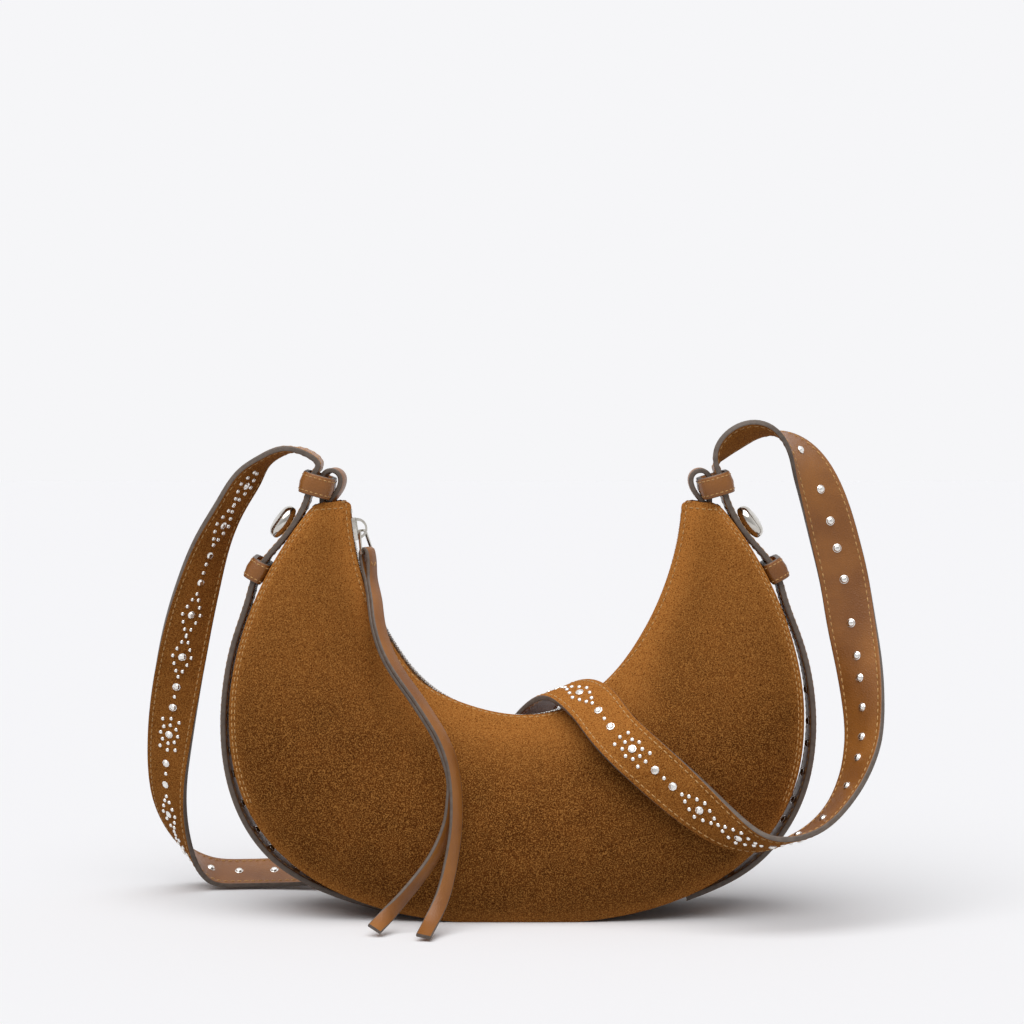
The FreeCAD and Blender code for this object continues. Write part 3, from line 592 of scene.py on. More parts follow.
def makeGusset():
    outerRings, innerRings = [], []
    for angle in np.linspace(-bag["tipAngle"], bag["tipAngle"], gussetForm["columns"] + 1):
        half = halfDepth(angle) - bag["skin"] - bag["seamGap"] + gussetForm["tuck"]  # under the panels' hems
        across = np.linspace(-1, 1, gussetForm["rows"] + 1)
        crown = gussetForm["crown"] * (1 - across ** 2) * stationValue("sinks", angle)
        base = lipPoint(angle) + backward * (half * across)[:, None]
        outer = base + radial(angle) * (sunkReach(angle) + crown - gussetForm["crown"])[:, None]
        inner = base + radial(angle) * (sunkReach(angle) - bag["gussetThickness"])
        outer[:, 2] = np.maximum(outer[:, 2], gussetForm["floor"])
        inner[:, 2] = np.maximum(inner[:, 2], gussetForm["floor"] + bag["gussetThickness"] / 2)
        outerRings.append(outer)
        innerRings.append(inner)
    outer, inner = np.array(outerRings), np.array(innerRings)
    ringPiece("gusset_suede", np.concatenate([outer, inner[:, ::-1]], axis=1), [suede], "suede",
              standsFor=("gusset", "left_side_gusset", "right_side_gusset"))
    normals = unit(np.cross(np.gradient(outer, axis=1), np.gradient(outer, axis=0)))
    rows = []
    for end in (0, -1):
        step = outer[:, 1 if end == 0 else -2] - outer[:, end]
        rows.append((outer[:, end] + unit(step) * gussetForm["stitchInset"], normals[:, end]))
    sewRows("gusset_stitches", rows, stitchForm["pitch"])


makeGusset()
print("gusset sewn")


# Flat strips swept along a given route

def place(shares):
    across, deep, high = shares
    return np.array((across * bag["halfWidth"], deep * bag["baseDepth"] / 2, high * tipHeight))


def stripLine(route, step):
    # Even steps along a fair curve: place, direction, side and face at each
    points = np.array([point for point, lie in route])
    lies = np.array([lie for point, lie in route], float)
    marks = runLengths(points)
    path, lay = fairCurve(marks, points), fairCurve(marks, lies)
    fine = np.linspace(0, marks[-1], int(marks[-1] * 4))  # four to the mm
    lengths = runLengths(path(fine))
    at = np.linspace(0, lengths[-1], int(lengths[-1] / step) + 1)
    spots = np.interp(at, lengths, fine)
    point, across = path(spots), lay(spots)
    along = unit(np.gradient(point, axis=0))
    side = unit(across - along * np.sum(across * along, axis=1, keepdims=True))
    return {"at": at, "point": point, "along": along, "side": side, "face": np.cross(along, side)}


def onStrip(line, distance):
    # Place and axes (along, side, face) at a distance down the strip
    spot, share = stepAt(line["at"], distance)
    point, *axes = [between(line[key], spot, share) for key in ("point", "along", "side", "face")]
    return point, np.array([unit(axis) for axis in axes])


def sweepStrip(line, section):
    across = np.array([corner[0] for corner in section])
    level = np.array([corner[1] for corner in section])
    return (line["point"][:, None] + line["side"][:, None] * across[None, :, None]
            + line["face"][:, None] * level[None, :, None])


def bothSides(right, painted):
    # A strip's section from its right half, and which of its faces are painted
    section = right + [(-across, level) for across, level in reversed(right)]
    return section, painted + painted[:-1][::-1] + [0]


def flipped(rings, edges):
    # The same rings walked the other way round, so that their faces look outward
    return [ring[::-1] for ring in rings], edges[:-1][::-1] + edges[-1:]


def stripStitches(line, across, level, lift):
    points = line["point"] + line["side"] * across + line["face"] * level
    return points, line["face"] * lift


# Strap, from the end of the left tail to the end of the right tail
strap = {"width": 28.0, "suede": 1.5, "backing": 1.7, "glueGap": 0.1, "step": 2.0, "stitchInset": 2.6,
         "stitchPitch": 4.1, "groove": 0.18, "grooveHalf": 0.8, "paintedLightTilts": (0.25, 0.75),
         "shoulder": ((0.05, 0.55), (-0.22, 0.14), (-0.7, 0.0)), "footProud": (0.03, 0.05), "footRise": 0.3,
         "tailAngles": (0.25, 0.325, 0.41, 0.47, 0.515, 0.6, 0.68, 0.73, 0.795, 0.85),
         "leftStandoffs": (3.3, 4.6, 6.8, 8.2, 8.2, 6.9, 5.4, 4.7, 4.6, 5.2),
         "rightStandoffs": (3.3, 4.6, 6.8, 8.2, 8.4, 8.2, 7.4, 6.6, 5.4, 5.2), "rightTailSkip": 1}
keeper = {"band": 12.4, "leather": 2.6, "sideGap": 0.6, "upperOutside": 6.0, "upperInside": 12.6,
          "upperAngle": 16.0, "upperSide": 1.9, "upperRise": 13.0, "lowerOutside": 6.8, "lowerAngle": 76.9}
stud = {"angle": 83.0, "length": 20.6, "width": 14.0, "height": 6.8, "restShare": 0.4, "lift": 0.5,
        "neck": 5.0, "turnAngle": 16.0, "turnLift": 1.2}
strapThickness = strap["suede"] + strap["glueGap"] + strap["backing"]
rimSeat = bag["gussetSink"] + bag["seamGap"]
keeperSeat = rimSeat + keeper["leather"] + bag["seamGap"] + strapThickness / 2
studSeat = rimSeat + strapThickness / 2
strapLoop = (
    ((-0.692, 0.0, 1.094), (0.0, 1.0, 0.0)),
    ((-0.730, 0.0, 1.122), (0.0, 1.0, 0.0)),
    ((-0.815, -0.02, 1.130), (0.18, 1.0, -0.06)),
    ((-0.886, -0.03, 1.105), (0.3, 0.95, 0.0)),
    ((-0.936, -0.03, 1.068), (0.5, 0.85, 0.0)),
    ((-1.000, 0.0, 1.000), (0.55, 0.83, 0.0)),
    ((-1.068, 0.06, 0.910), (0.63, 0.77, -0.1)),
    ((-1.118, 0.14, 0.811), (0.78, 0.6, -0.17)),
    ((-1.159, 0.28, 0.711), (0.9, 0.4, -0.2)),
    ((-1.193, 0.47, 0.610), (0.97, 0.15, -0.17)),
    ((-1.224, 0.70, 0.506), (0.99, -0.1, -0.1)),
    ((-1.249, 0.95, 0.402), (0.93, -0.35, -0.05)),
    ((-1.265, 1.22, 0.295), (0.78, -0.6, 0.05)),
    ((-1.262, 1.47, 0.216), (0.65, -0.75, 0.05)),
    ((-1.232, 1.76, 0.130), (0.42, -0.9, 0.0)),
    ((-1.185, 1.94, 0.073), (0.26, -0.92, -0.25)),
    ((-1.125, 2.07, 0.041), (0.1, -0.92, -0.36)),
    ((-1.029, 2.14, 0.033), (0.03, -0.92, -0.37)),
    ((-0.914, 2.17, 0.034), (0.05, -0.92, -0.38)),
    ((-0.702, 2.03, 0.051), (0.15, -0.88, -0.45)),
    ((-0.519, 1.81, 0.085), (0.3, -0.75, -0.58)),
    ((-0.336, 1.58, 0.148), (0.55, -0.5, -0.67)),
    ((-0.171, 1.39, 0.229), (0.78, -0.2, -0.6)),
    ((-0.049, 1.17, 0.322), (0.9, 0.1, -0.35)),
    ((0.027, 0.89, 0.415), (0.9, 0.35, 0.0)),
    ((0.082, 0.58, 0.492), (0.82, 0.5, 0.2)),
    ((0.159, 0.10, 0.542), (0.76, 0.6, 0.25)),
    ((0.266, -0.53, 0.518), (0.72, 0.34, 0.6)),
    ((0.325, -0.98, 0.471), (0.66, 0.35, 0.65)),
    ((0.431, -1.38, 0.404), (0.67, 0.1, 0.7)),
    ((0.540, -1.58, 0.340), (0.68, -0.15, 0.68)),
    ((0.640, -1.70, 0.283), (0.62, -0.45, 0.64)),
    ((0.740, -1.79, 0.236), (0.45, -0.7, 0.55)),
    ((0.843, -1.80, 0.212), (0.1, -0.9, 0.4)),
    ((0.955, -1.68, 0.222), (-0.08, -0.98, 0.1)),
    ((1.050, -1.42, 0.254), (0.1, -0.98, 0.05)),
    ((1.118, -1.18, 0.299), (0.24, -0.95, 0.08)),
    ((1.162, -0.97, 0.345), (0.37, -0.92, 0.08)),
    ((1.190, -0.80, 0.390), (0.47, -0.87, 0.06)),
    ((1.207, -0.63, 0.435), (0.57, -0.81, 0.05)),
    ((1.212, -0.39, 0.526), (0.73, -0.67, 0.05)),
    ((1.199, -0.19, 0.621), (0.86, -0.48, 0.05)),
    ((1.176, -0.06, 0.717), (0.95, -0.25, 0.1)),
    ((1.153, 0.03, 0.814), (1.0, -0.05, 0.1)),
    ((1.120, 0.08, 0.911), (0.99, 0.07, 0.1)),
    ((1.082, 0.11, 1.004), (0.93, 0.3, 0.1)),
    ((1.031, 0.11, 1.088), (0.77, 0.6, 0.05)),
    ((0.979, 0.08, 1.138), (0.55, 0.83, 0.0)),
    ((0.918, 0.05, 1.168), (0.38, 0.92, -0.15)),
    ((0.840, 0.02, 1.178), (0.25, 0.93, -0.33)),
    ((0.756, 0.0, 1.153), (0.33, 0.9, -0.3)),
    ((0.716, 0.0, 1.122), (0.3, 0.95, -0.06)),
    ((0.702, 0.0, 1.086), (0.0, 1.0, 0.0)),
)


def gussetPoint(angle):
    return lipPoint(angle) + radial(angle) * sunkReach(angle)


def gussetAxes(angle):
    # Up the side of the bag and out of the gusset
    side = math.copysign(1, angle)
    along = unit(gussetPoint(angle + side) - gussetPoint(angle))
    return along, np.cross(backward, along) * side


def besideGusset(angle, standoff):
    return gussetPoint(angle) + gussetAxes(angle)[1] * standoff


def upperKeeperCentre(side):
    hang = np.array((side * keeper["upperSide"], 0, keeper["upperRise"]))
    return gussetPoint(side * bag["tipAngle"]) + hang


def upperKeeperDown(side):
    turn = math.radians(keeper["upperAngle"])
    return np.array((side * math.sin(turn), 0, -math.cos(turn)))


def tipRun(side):
    run = []
    skip = strap["rightTailSkip"] if side > 0 else 0
    standoffs = strap["rightStandoffs" if side > 0 else "leftStandoffs"]
    for share, standoff in list(zip(strap["tailAngles"], standoffs))[skip:]:
        run.append(besideGusset(side * bag["tipAngle"] * share, standoff))
    for angle, seat, rest in ((keeper["lowerAngle"], keeperSeat, keeper["band"] / 2),
                              (stud["angle"], studSeat, stud["length"] * stud["restShare"])):
        along = gussetAxes(side * angle)[0]
        middle = besideGusset(side * angle, seat)
        run += [middle - along * rest, middle + along * rest]
    half = upperKeeperDown(side) * (keeper["band"] / 2)
    run += [upperKeeperCentre(side) + half, upperKeeperCentre(side) - half]
    return [(point, backward) for point in run]


loopRun = [(place(spot), lie) for spot, lie in strapLoop]
strapLine = stripLine(tipRun(-1) + loopRun + tipRun(1)[::-1], strap["step"])
strapLength = strapLine["at"][-1]
halfGlue = strap["glueGap"] / 2
suedeTop = halfGlue + strap["suede"]
leatherTop = -halfGlue - strap["backing"]
stitchLine = strap["width"] / 2 - strap["stitchInset"]


def layerSection(low, high, lift):
    # A layer of hide: painted sides, rounded shoulders on its show face, a groove along each stitch row
    half, dip = strap["width"] / 2, strap["grooveHalf"]
    show, hidden = (high, low) if lift > 0 else (low, high)
    seam = hidden - lift * halfGlue  # the paint closes the glue line
    foot, side = strap["footProud"]
    right = [(half + foot, seam), (half + side, hidden + lift * strap["footRise"])]
    right += [(half + out, show - lift * drop) for out, drop in strap["shoulder"]]
    right += [(stitchLine + dip, show), (stitchLine, show - lift * strap["groove"]), (stitchLine - dip, show)]
    return bothSides(right, [1, 1, 1, 0, 0, 0, 0, 0])


def makeStrapLayer(name, low, high, lift, finish, slot, node):
    section, edges = layerSection(low, high, lift)
    rings = sweepStrip(strapLine, section)
    if lift < 0:
        rings, edges = flipped(rings, edges)
    # Painted highlight: the suede is painted paler where its face lies upward, towards the light
    paintedUpwardLight = np.interp(strapLine["face"][:, 2], strap["paintedLightTilts"], (0.0, 1.0))
    ringPiece(name, rings, [finish, paint], slot, edges=edges, cap=1, standsFor=(node,),
              wear=np.repeat(paintedUpwardLight, len(section)))


makeStrapLayer("strap_suede_face", halfGlue, suedeTop, 1, strapSuede, "suede", "strap_suede")
makeStrapLayer("strap_leather_back", leatherTop, -halfGlue, -1, leather, "smooth_leather", "strap_backing")
strapRows = []
for edge in (-1, 1):
    strapRows.append(stripStitches(strapLine, edge * stitchLine, suedeTop - strap["groove"] / 2, 1))
    strapRows.append(stripStitches(strapLine, edge * stitchLine, leatherTop + strap["groove"] / 2, -1))
sewRows("strap_stitches", strapRows, strap["stitchPitch"])
print("strap laid, mm", round(strapLength))

# Ornament: stones and dome nails in diamonds and stars, with rivets behind the stones
domeTurns = np.linspace(0, math.pi / 2, 5)[:-1]
ornament = {"leftStarHeight": 100.0, "crossStarSide": 64.5, "rightStarHeight": 119.0, "leftEase": 1.05,
            "tailTop": 130.0, "bareEnd": 12.0, "bareArc": 24.0, "bareTip": 100.0, "sink": 0.05,
            "nailRadius": 1.3, "nailRise": 0.9, "nailSides": 10,
            "nailProfile": [(math.cos(turn), math.sin(turn)) for turn in domeTurns] + [(0.12, 1.0)],
            "stoneRadius": 2.4, "stoneRise": 1.4, "stoneSides": 8,  # a sloping crown and flat table in a cup
            "stoneProfile": ((1.0, 0.0), (1.0, 0.45), (0.86, 0.5, 0.5), (0.5, 1.0)),
            "rivetRadius": 2.5, "rivetRise": 1.6, "rivetSides": 18,
            "rivetProfile": ((1.0, 0.0), (1.0, 0.15), (0.86, 0.24), (0.8, 0.5), (0.62, 0.82), (0.35, 0.97),
                             (0.1, 1.0)),
            "diamond": ((13.0, 0.0), (9.3, 1.9), (4.8, 3.8), (0.0, 5.4)),
            "star": ((6.0, 0.0), (10.5, 0.0), (4.2, 3.9), (0.0, 5.5), (9.1, 5.1)),
            "row": (("diamond", 25.5), ("diamond", 18.5), ("stone", 5.5), ("nail", 5.0), ("nail", 5.6),
                    ("stone", 19.2), ("diamond", 25.5), ("diamond", 18.5), ("stone", 6.5), ("nail", 6.5),
                    ("stone", 17.3), ("star", 17.3), ("stone", 6.5), ("nail", 6.5), ("stone", 19.2))}


def turnedShape(radius, rise, profile, sides):
    # A shape turned on its axis; a third value in the profile twists that ring by part of a side
    rows = []
    for share, height, *twist in profile:
        spin = roundTurns(sides, sum(twist))
        ring = [radius * share * np.cos(spin), radius * share * np.sin(spin), np.full(sides, rise * height)]
        rows.append(np.stack(ring, axis=1))
    return skinRings(rows)[:2]


def mirrored(spots):
    flips = [(turn, flip) for turn in (-1, 1) for flip in (-1, 1)]
    return sorted({(along * turn, across * flip) for along, across in spots for turn, flip in flips})


def ornamentRow():
    # Stones and nails along the whole strap, eased so that a star falls on each of its three open runs
    point, at, rise = strapLine["point"], strapLine["at"], strapLine["along"][:, 2]
    isLeft = (point[:, 0] < -bag["halfWidth"]) & (rise < 0)
    isRight = (point[:, 0] > bag["halfWidth"]) & (rise > 0)
    isFront = point[:, 1] < -bag["baseDepth"] / 2
    stars = [at[np.argmax(isLeft & (point[:, 2] < ornament["leftStarHeight"]))],
             at[np.argmax(isFront & (point[:, 0] > ornament["crossStarSide"]))],
             at[np.argmax(isRight & (point[:, 2] > ornament["rightStarHeight"]))]]
    steps = ornament["row"]
    period = sum(gap for motif, gap in steps)
    marks = [0.0]
    for before, after in zip(stars, stars[1:]):
        marks.append(marks[-1] + period * round((after - before) / period))
    print("ornament eased by", np.round(np.diff(stars) / np.diff(marks), 3))
    marks = [-strapLength] + marks + [marks[-1] + strapLength]
    stars = [stars[0] - strapLength * ornament["leftEase"]] + stars + [stars[-1] + strapLength]
    offset = sum(gap for motif, gap in steps[:[motif for motif, gap in steps].index("star")])
    mark = -offset - period * int(strapLength / period)
    stones, nails = [], []
    while mark < marks[-1]:
        for motif, gap in steps:
            distance = float(np.interp(mark, marks, stars))
            (nails if motif == "nail" else stones).append((distance, 0.0))
            if motif in ornament:
                nails += [(distance + along, across) for along, across in mirrored(ornament[motif])]
            mark += gap
    return stones, sorted(set(nails))


halfCount = len(strapLine["at"]) // 2
leftTop = strapLine["at"][np.argmax(strapLine["point"][:halfCount, 2])]
rightTop = strapLine["at"][halfCount + np.argmax(strapLine["point"][halfCount:, 2])]


def isTrimmed(distance):
    # Bare near the strap's ends, keepers and arcs; trimmed on the long run and on the lower tails
    if not ornament["bareEnd"] < distance < strapLength - ornament["bareEnd"]:
        return False
    if leftTop + ornament["bareArc"] < distance < rightTop - ornament["bareArc"]:
        return True
    isTail = distance < leftTop - ornament["bareTip"] or distance > rightTop + ornament["bareTip"]
    return isTail and np.interp(distance, strapLine["at"], strapLine["point"][:, 2]) < ornament["tailTop"]


def trimPlaces(spots, level, lift):
    places = []
    for distance, across in spots:
        if isTrimmed(distance):
            point, (along, side, face) = onStrip(strapLine, distance)
            places.append((point + side * across + face * level, np.array([along, side * lift, face * lift])))
    return places


stoneSpots, nailSpots = ornamentRow()
for name, kind, spots, lift, sharpAngle in (("strap_dome_nails", "nail", nailSpots, 1, 50.0),
                                            ("strap_stones", "stone", stoneSpots, 1, 15.0),
                                            ("strap_rivets", "rivet", stoneSpots, -1, 50.0)):
    shape = turnedShape(*[ornament[kind + part] for part in ("Radius", "Rise", "Profile", "Sides")])
    level = suedeTop - ornament["sink"] if lift > 0 else leatherTop + ornament["sink"]
    stampPiece(name, shape, trimPlaces(spots, level, lift), trimNickel, "polished_metal",
               sharpAngle=sharpAngle)
print("strap trimmed, stones and nails", len(stoneSpots), len(nailSpots))


# Keepers: stitched leather bands round the strap
keeperLook = {"steps": 8, "crown": 0.8, "edge": ((-0.5, 0.0), (-0.12, 0.25), (0.0, 0.8)),
              "innerEdge": (0.2, 0.3), "stitchInset": 2.0, "stitchPitch": 2.9, "stitchProud": 0.1,
              "outerCorner": 7.4, "upperInnerCorner": 7.0, "lowerInnerCorner": 3.4}


def roundedLoop(low, high, half, corners, steps):
    # Points and outward directions round a rectangle with round corners, in the plane (out, deep)
    inner, outer = corners
    arcs = ((high - outer, outer, 1), (low + inner, inner, 1),
            (low + inner, inner, -1), (high - outer, outer, -1))
    loop = []
    for quarter, (out, corner, end) in enumerate(arcs):
        for step in range(steps + 1):
            turn = math.pi / 2 * (quarter + step / steps)
            facing = (math.cos(turn), math.sin(turn))
            loop.append(((out + corner * facing[0], end * (half - corner) + corner * facing[1]), facing))
    return loop


def keeperBand(name, origin, outward, along, low, high, innerCorner):
    half = strap["width"] / 2 + keeper["sideGap"] + keeper["leather"]
    thick, reachUp = keeper["leather"], keeper["band"] / 2
    step, cut = keeperLook["innerEdge"]
    lower = [(step - thick, -reachUp)] + [(level, rise - reachUp) for level, rise in keeperLook["edge"]]
    section = lower + [(keeperLook["crown"], 0.0)] + [(level, -rise) for level, rise in reversed(lower)]
    section += [(-thick, reachUp - cut), (-thick, 0.0), (-thick, cut - reachUp)]
    edges = [1, 1, 0, 0, 0, 0, 1, 1, 1, 0, 0, 1]
    rings, rows = [], [[], []]
    corners = (innerCorner, keeperLook["outerCorner"])
    for (out, deep), (faceOut, faceDeep) in roundedLoop(low, high, half, corners, keeperLook["steps"]):
        centre = origin + outward * out + backward * deep
        facing = outward * faceOut + backward * faceDeep
        rings.append([centre + facing * level + along * rise for level, rise in section])
        for row, end in zip(rows, (-1, 1)):
            sewn = centre + along * (end * (reachUp - keeperLook["stitchInset"]))
            row.append((sewn + facing * keeperLook["stitchProud"], facing))
    if np.dot(np.cross(outward, backward), along) > 0:
        rings, edges = flipped(rings, edges)
    ringPiece(name + "_band", rings, [leather, paint], "smooth_leather", looped=True, edges=edges,
              standsFor=(name,))
    closed = [np.array(row + row[:1]) for row in rows]
    sewRows(name + "_stitches", [(row[:, 0], row[:, 1]) for row in closed], keeperLook["stitchPitch"])


for sideName, side in bagSides:
    upAlong = -upperKeeperDown(side)
    outward = np.cross(backward, upAlong) * side
    keeperBand(sideName + "_upper_keeper", upperKeeperCentre(side), outward, upAlong,
               -keeper["upperInside"], keeper["upperOutside"], keeperLook["upperInnerCorner"])
    upAlong, outward = gussetAxes(side * keeper["lowerAngle"])
    keeperBand(sideName + "_lower_keeper", gussetPoint(side * keeper["lowerAngle"]), outward, upAlong,
               rimSeat, keeperSeat + keeper["lowerOutside"], keeperLook["lowerInnerCorner"])
print("keepers sewn")

# Tabs: a leather loop out of each tip, round the inner wall of the upper keeper
tab = {"width": 12.0, "leather": 2.8, "loop": 8.0, "shift": 1.2, "root": 9.0, "rise": 14.0, "neckShare": 0.24,
       "lean": 4.0, "steps": 14, "step": 1.0,
       "turns": {"left": 0.17, "right": 0.0}}  # the left one shows some of its face
hideRound = ((0.5, 0.0), (0.1, 0.25), (0.0, 0.7))  # in from the side and from the face


def hideSection(width, thickness):
    # A strip of one hide: rounded, painted sides
    half, skin = width / 2, thickness / 2
    right = [(half - inward, rise - skin) for inward, rise in hideRound]
    right += [(half - inward, skin - rise) for inward, rise in reversed(hideRound)]
    return bothSides(right, [1, 1, 1, 1, 1, 0])


def makeTab(name, side, turned):
    wall = keeper["upperInside"] - keeper["leather"] / 2
    inward = np.cross(backward, upperKeeperDown(side)) * side
    middle = (upperKeeperCentre(side) + inward * (wall + tab["shift"]))[0]
    radius = (tab["loop"] + tab["leather"]) / 2
    foot, crown = tipHeight - tab["root"], tipHeight + tab["rise"]
    tall = crown - foot
    legs = {-1: [], 1: []}  # both legs leave the tip together, lean in and part into a drop
    for share in np.linspace(0, 1, tab["steps"]):
        clear = max(0.0, share * tall - tab["root"]) / (tall - tab["root"])
        ease = math.sin(math.pi / 2 * clear)
        lean = side * tab["lean"] * (1 - ease)
        for leg in legs:
            across = leg * radius * (tab["neckShare"] + (1 - tab["neckShare"]) * ease)
            legs[leg].append((lean + across, foot + tall * share))
    arc = [(-radius * math.cos(turn), crown + radius * math.sin(turn))
           for turn in np.linspace(0, math.pi, tab["steps"])[1:-1]]
    run = legs[-1] + arc + legs[1][::-1]
    lie = backward - np.array((side * turned, 0, 0))
    line = stripLine([((middle + across, 0, rise), lie) for across, rise in run], tab["step"])
    section, edges = hideSection(tab["width"], tab["leather"])
    ringPiece(name + "_loop", sweepStrip(line, section), [leather, paint], "smooth_leather", edges=edges,
              cap=1, standsFor=(name,))


for sideName, side in bagSides:
    makeTab(sideName + "_tab", side, tab["turns"][sideName])
print("tabs looped")

# Studs: an oval pebble on a neck through the strap
pebble = {"profile": ((0.35, -0.09), (0.80, -0.06), (0.94, 0.05), (1.0, 0.2), (1.0, 0.42), (0.97, 0.6),
                      (0.89, 0.77), (0.75, 0.9), (0.55, 0.97), (0.3, 1.0), (0.1, 1.005)), "sides": 40}


def makeStud(name, side):
    along, outward = gussetAxes(side * stud["angle"])
    lean = math.radians(stud["turnAngle"])  # the pebble leans to the front on its neck
    proud = outward * math.cos(lean) - backward * math.sin(lean)
    wide = backward * math.cos(lean) + outward * math.sin(lean)
    seat = studSeat + strapThickness / 2 + stud["lift"]
    foot = gussetPoint(side * stud["angle"])
    middle = foot + outward * (seat + stud["turnLift"])
    turns = roundTurns(pebble["sides"])
    oval = np.outer(np.cos(turns), along * stud["length"] / 2)
    oval += np.outer(np.sin(turns), wide * stud["width"] / 2)
    rings = [foot + oval * (stud["neck"] / stud["width"])]
    rings += [middle + oval * share + proud * (rise * stud["height"]) for share, rise in pebble["profile"]]
    if side < 0:
        rings = [ring[::-1] for ring in rings]
    ringPiece(name + "_pebble", rings, [nickel], "polished_metal", standsFor=(name,))


for sideName, side in bagSides:
    makeStud(sideName + "_stud", side)
print("studs set")

# Thong: folded over the lower bar of the link, two tails down the front
thong = {"width": 8.5, "thickness": 2.2, "gap": 0.3, "linkWire": 1.3, "foldSteps": 6, "step": 1.5,
         "crumple": 0.78,
         "top": (
             ((-0.512, -0.14, 0.820), (0.53, 0.85, 0.0)),
             ((-0.497, -0.34, 0.773), (0.60, 0.80, 0.0)),
             ((-0.486, -0.56, 0.727), (0.65, 0.76, 0.0)),
             ((-0.439, -0.86, 0.633), (0.66, 0.75, 0.0)),
             ((-0.348, -1.11, 0.544), (0.66, 0.75, 0.0)),
             ((-0.302, -1.21, 0.498), (0.66, 0.75, 0.0)),
             ((-0.261, -1.28, 0.451), (0.66, 0.75, 0.0)),
             ((-0.232, -1.33, 0.401), (0.67, 0.74, 0.0)),
         ),
         "frontTail": (
             ((-0.212, -1.41, 0.352), (0.68, 0.73, 0.0)),
             ((-0.207, -1.45, 0.305), (0.70, 0.71, 0.0)),
             ((-0.207, -1.48, 0.258), (0.73, 0.68, 0.0)),
             ((-0.213, -1.52, 0.212), (0.77, 0.64, 0.0)),
             ((-0.224, -1.58, 0.165), (0.81, 0.58, 0.0)),
             ((-0.238, -1.67, 0.119), (0.84, 0.52, 0.0)),
             ((-0.258, -1.82, 0.076), (0.87, 0.46, 0.0)),
             ((-0.285, -2.07, 0.040), (0.90, 0.38, 0.0)),
             ((-0.312, -2.50, 0.013), (0.93, 0.32, 0.0)),
         ),
         "backTail": (
             ((-0.220, -1.34, 0.352), (0.68, 0.73, 0.0)),
             ((-0.222, -1.36, 0.305), (0.68, 0.73, 0.0)),
             ((-0.231, -1.38, 0.258), (0.68, 0.73, 0.0)),
             ((-0.253, -1.42, 0.212), (0.69, 0.72, 0.0)),
             ((-0.284, -1.48, 0.170), (0.71, 0.70, 0.0)),
             ((-0.329, -1.57, 0.127), (0.74, 0.67, 0.0)),
             ((-0.381, -1.68, 0.085), (0.78, 0.62, 0.0)),
             ((-0.434, -1.84, 0.047), (0.82, 0.57, 0.0)),
             ((-0.480, -2.16, 0.020), (0.84, 0.54, 0.0)),
         )}
linkBar = np.array(joints["thong_swing"]["pos_m"]) / mm
linkAcross = -np.array(joints["thong_swing"]["axis"])


def thongRoute():
    # Up the front tail, round the bar and down the back tail
    upper = [(place(spot), np.array(lie)) for spot, lie in thong["top"]]
    shift = (thong["thickness"] + thong["gap"]) / 2
    layers = []
    for layer in (1, -1):
        run, before = [], linkBar
        for point, lie in upper:
            along = unit(point - before)
            side = unit(lie - along * np.dot(lie, along))
            run.append((point + np.cross(along, side) * (shift * layer), lie))
            before = point
        layers.append(run)
    front = layers[0] + [(place(spot), lie) for spot, lie in thong["frontTail"]]
    rear = layers[1] + [(place(spot), lie) for spot, lie in thong["backTail"]]
    fall = unit(upper[0][0] - linkBar)
    proud = np.cross(fall, unit(linkAcross - fall * np.dot(linkAcross, fall)))
    radius = thong["linkWire"] * math.sqrt(2) / 2 + thong["gap"] + thong["thickness"] / 2
    fold = []
    for turn in np.linspace(0, math.pi, thong["foldSteps"] + 1):
        fold.append((linkBar + (proud * math.cos(turn) - fall * math.sin(turn)) * radius, linkAcross))
    return front[::-1] + fold + rear


thongLine = stripLine(thongRoute(), thong["step"])
section, edges = hideSection(thong["width"], thong["thickness"])
thongPiece = ringPiece("pull_thong_leather", sweepStrip(thongLine, section), [leather, paint],
                       "smooth_leather", edges=edges, cap=1, body="thong", standsFor=("pull_thong",))
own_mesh(thongPiece)
thongStitch = {"drop": 10.0, "across": 1.5, "slantAngle": 38.0, "length": 4.6}


def sewThong():
    # Two slanted stitches below the fold hold both layers
    fold = thongLine["at"][np.argmax(thongLine["point"][:, 2])]
    point, (along, side, face) = onStrip(thongLine, fold - thongStitch["drop"])
    proud = face * -np.sign(face[1])
    places = []
    for end in (-1, 1):
        slant = math.radians(thongStitch["slantAngle"]) * end
        run = along * math.cos(slant) + side * math.sin(slant)
        spot = point + side * (end * thongStitch["across"]) + proud * (thong["thickness"] / 2)
        places.append((spot, np.array([run, np.cross(proud, run), proud])))
    stitches = stampPiece("pull_thong_stitches", stitchShape(thongStitch["length"]), places, thread,
                          "smooth_leather", body="thong")
    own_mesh(stitches)


sewThong()
print("thong folded, mm", round(thongLine["at"][-1]))

# Metal and cloth that keep the shape of their solids
bevel = {"width": 0.25, "segments": 3, "limitAngle": 30.0}
for names, finish in ((("zip_top_stop", "zip_bottom_stop", "zip_slider", "puller_link", "left_stud_screw",
                        "right_stud_screw"), zipNickel),
                      (("zip_teeth_front", "zip_teeth_back"), trimNickel),
                      (("zip_tape_front", "zip_tape_back"), tapeCloth),
                      (("front_lining", "back_lining", "gusset_lining"), liningCloth)):
    for name in names:
        solid = frame["nodes"][name]
        solid.data.materials.clear()
        solid.data.materials.append(finish)
        if finish in (zipNickel, trimNickel):
            rounding = solid.modifiers.new("rounding", "BEVEL")
            rounding.width = bevel["width"] * mm
            rounding.segments = bevel["segments"]
            rounding.limit_method = "ANGLE"
            rounding.angle_limit = math.radians(bevel["limitAngle"])
print("solids finished")

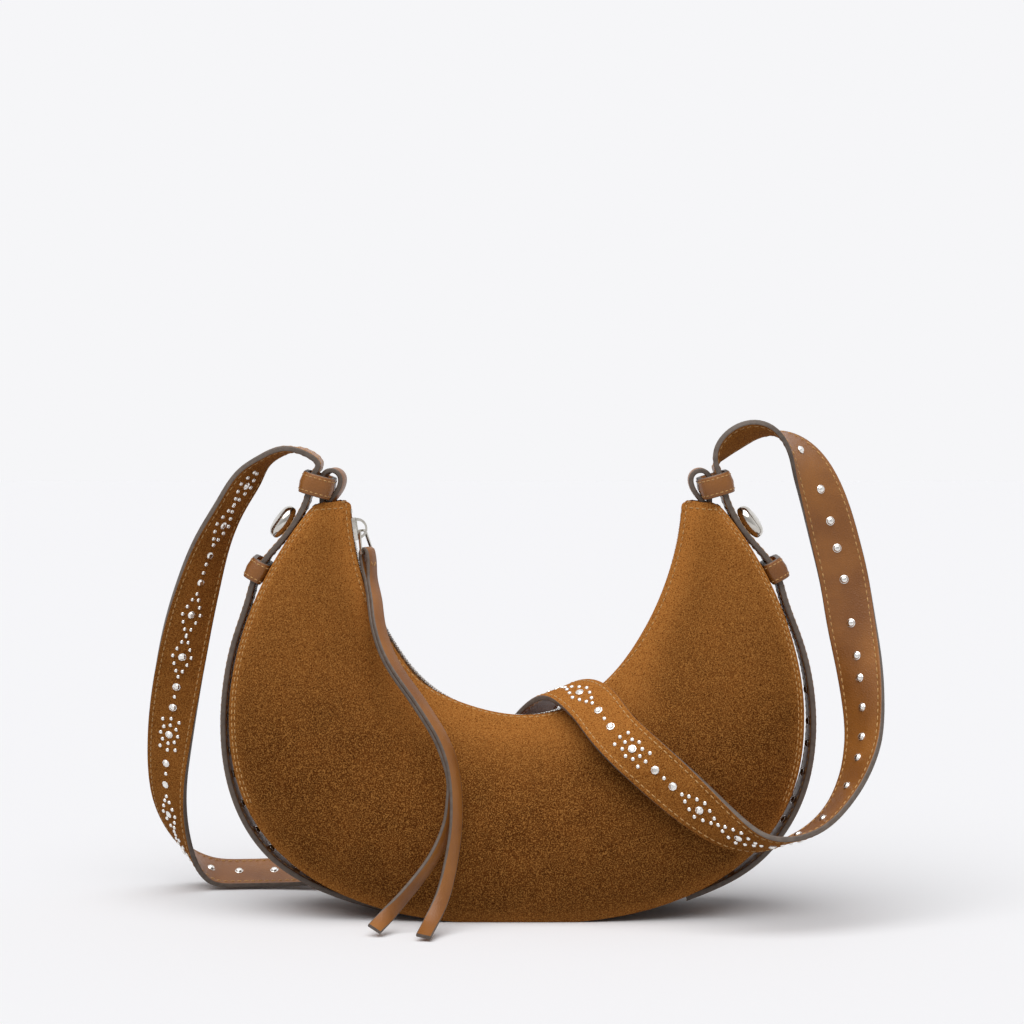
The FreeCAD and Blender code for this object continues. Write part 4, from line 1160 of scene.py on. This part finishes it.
# Studio: a pale floor that runs out into a white room, one wide soft light from above
studio = {"floorSize": 12.0, "floor": "#f4f4f6", "floorBounce": "#bababa", "room": "#f6f6f8",
          "roomStrength": 0.3, "darkSide": 0.35, "sweepDepths": (-0.9, -0.1),
          "sunStrength": 2.59, "sunSpreadAngle": 70.0, "sunTurns": (26.0, 0.0, -14.0)}


def seenRay(tree):
    # What the camera sees, straight and by reflection; both are 0 for the light that surfaces gather
    ray = addNode(tree, "LightPath", {}, {}).node.outputs
    mirror = addNode(tree, "Math", {"operation": "MAXIMUM"},
                     {0: ray["Is Glossy Ray"], 1: ray["Is Transmission Ray"]})
    return ray["Is Camera Ray"], mirror


def paleFloor(tree, where, look):
    # Matt studio paint: even and pale to the eye, and greyer in the light that it throws back
    camera, mirror = seenRay(tree)
    seen = addNode(tree, "Math", {"operation": "MAXIMUM"}, {0: camera, 1: mirror})
    tones = {"data_type": "RGBA", 6: linear(look["floorBounce"]), 7: linear(look["floor"])}
    tone = addNode(tree, "Mix", tones, {0: seen}, 2)
    return {"Roughness": 0.9, "Specular IOR Level": 0.0}, {"Base Color": tone}


half = studio["floorSize"] / 2
floorMesh = bpy.data.meshes.new("floor")
floorCorners = [(-half, -half, 0), (half, -half, 0), (half, half, 0), (-half, half, 0)]
floorMesh.from_pydata(floorCorners, [], [(0, 1, 2, 3)])
floorMesh.materials.append(mixFinish("paleFloor", paleFloor, studio))
floor = addObject("floor", floorMesh)

room = bpy.data.worlds.new("room")
room.use_nodes = True
bpy.context.scene.world = room
roomTree = room.node_tree
camera, mirror = seenRay(roomTree)
direction = addNode(roomTree, "TexCoord", {}, {}, "Generated")
away = addNode(roomTree, "SeparateXYZ", {}, {0: direction}, 1)
# Metal sees the white sweep and a dimmer room in front of it
near, far = studio["sweepDepths"]
sweep = addNode(roomTree, "MapRange", {"From Min": near, "From Max": far, "To Min": studio["darkSide"]},
                {"Value": away})
shown = addNode(roomTree, "Math", {"operation": "MULTIPLY"}, {0: mirror, 1: sweep})
seen = addNode(roomTree, "Math", {"operation": "MAXIMUM"}, {0: camera, 1: shown})
level = addNode(roomTree, "MapRange", {"To Min": studio["roomStrength"]}, {"Value": seen})
setNode(roomTree, roomTree.nodes["Background"], {"Color": linear(studio["room"])}, {"Strength": level})

sunData = bpy.data.lights.new("skylight", "SUN")
sunData.energy = studio["sunStrength"]
sunData.angle = math.radians(studio["sunSpreadAngle"])
sun = addObject("skylight", sunData)
sun.rotation_euler = [math.radians(turn) for turn in studio["sunTurns"]]
bpy.context.scene.view_settings.view_transform = "Standard"
print("studio lit")
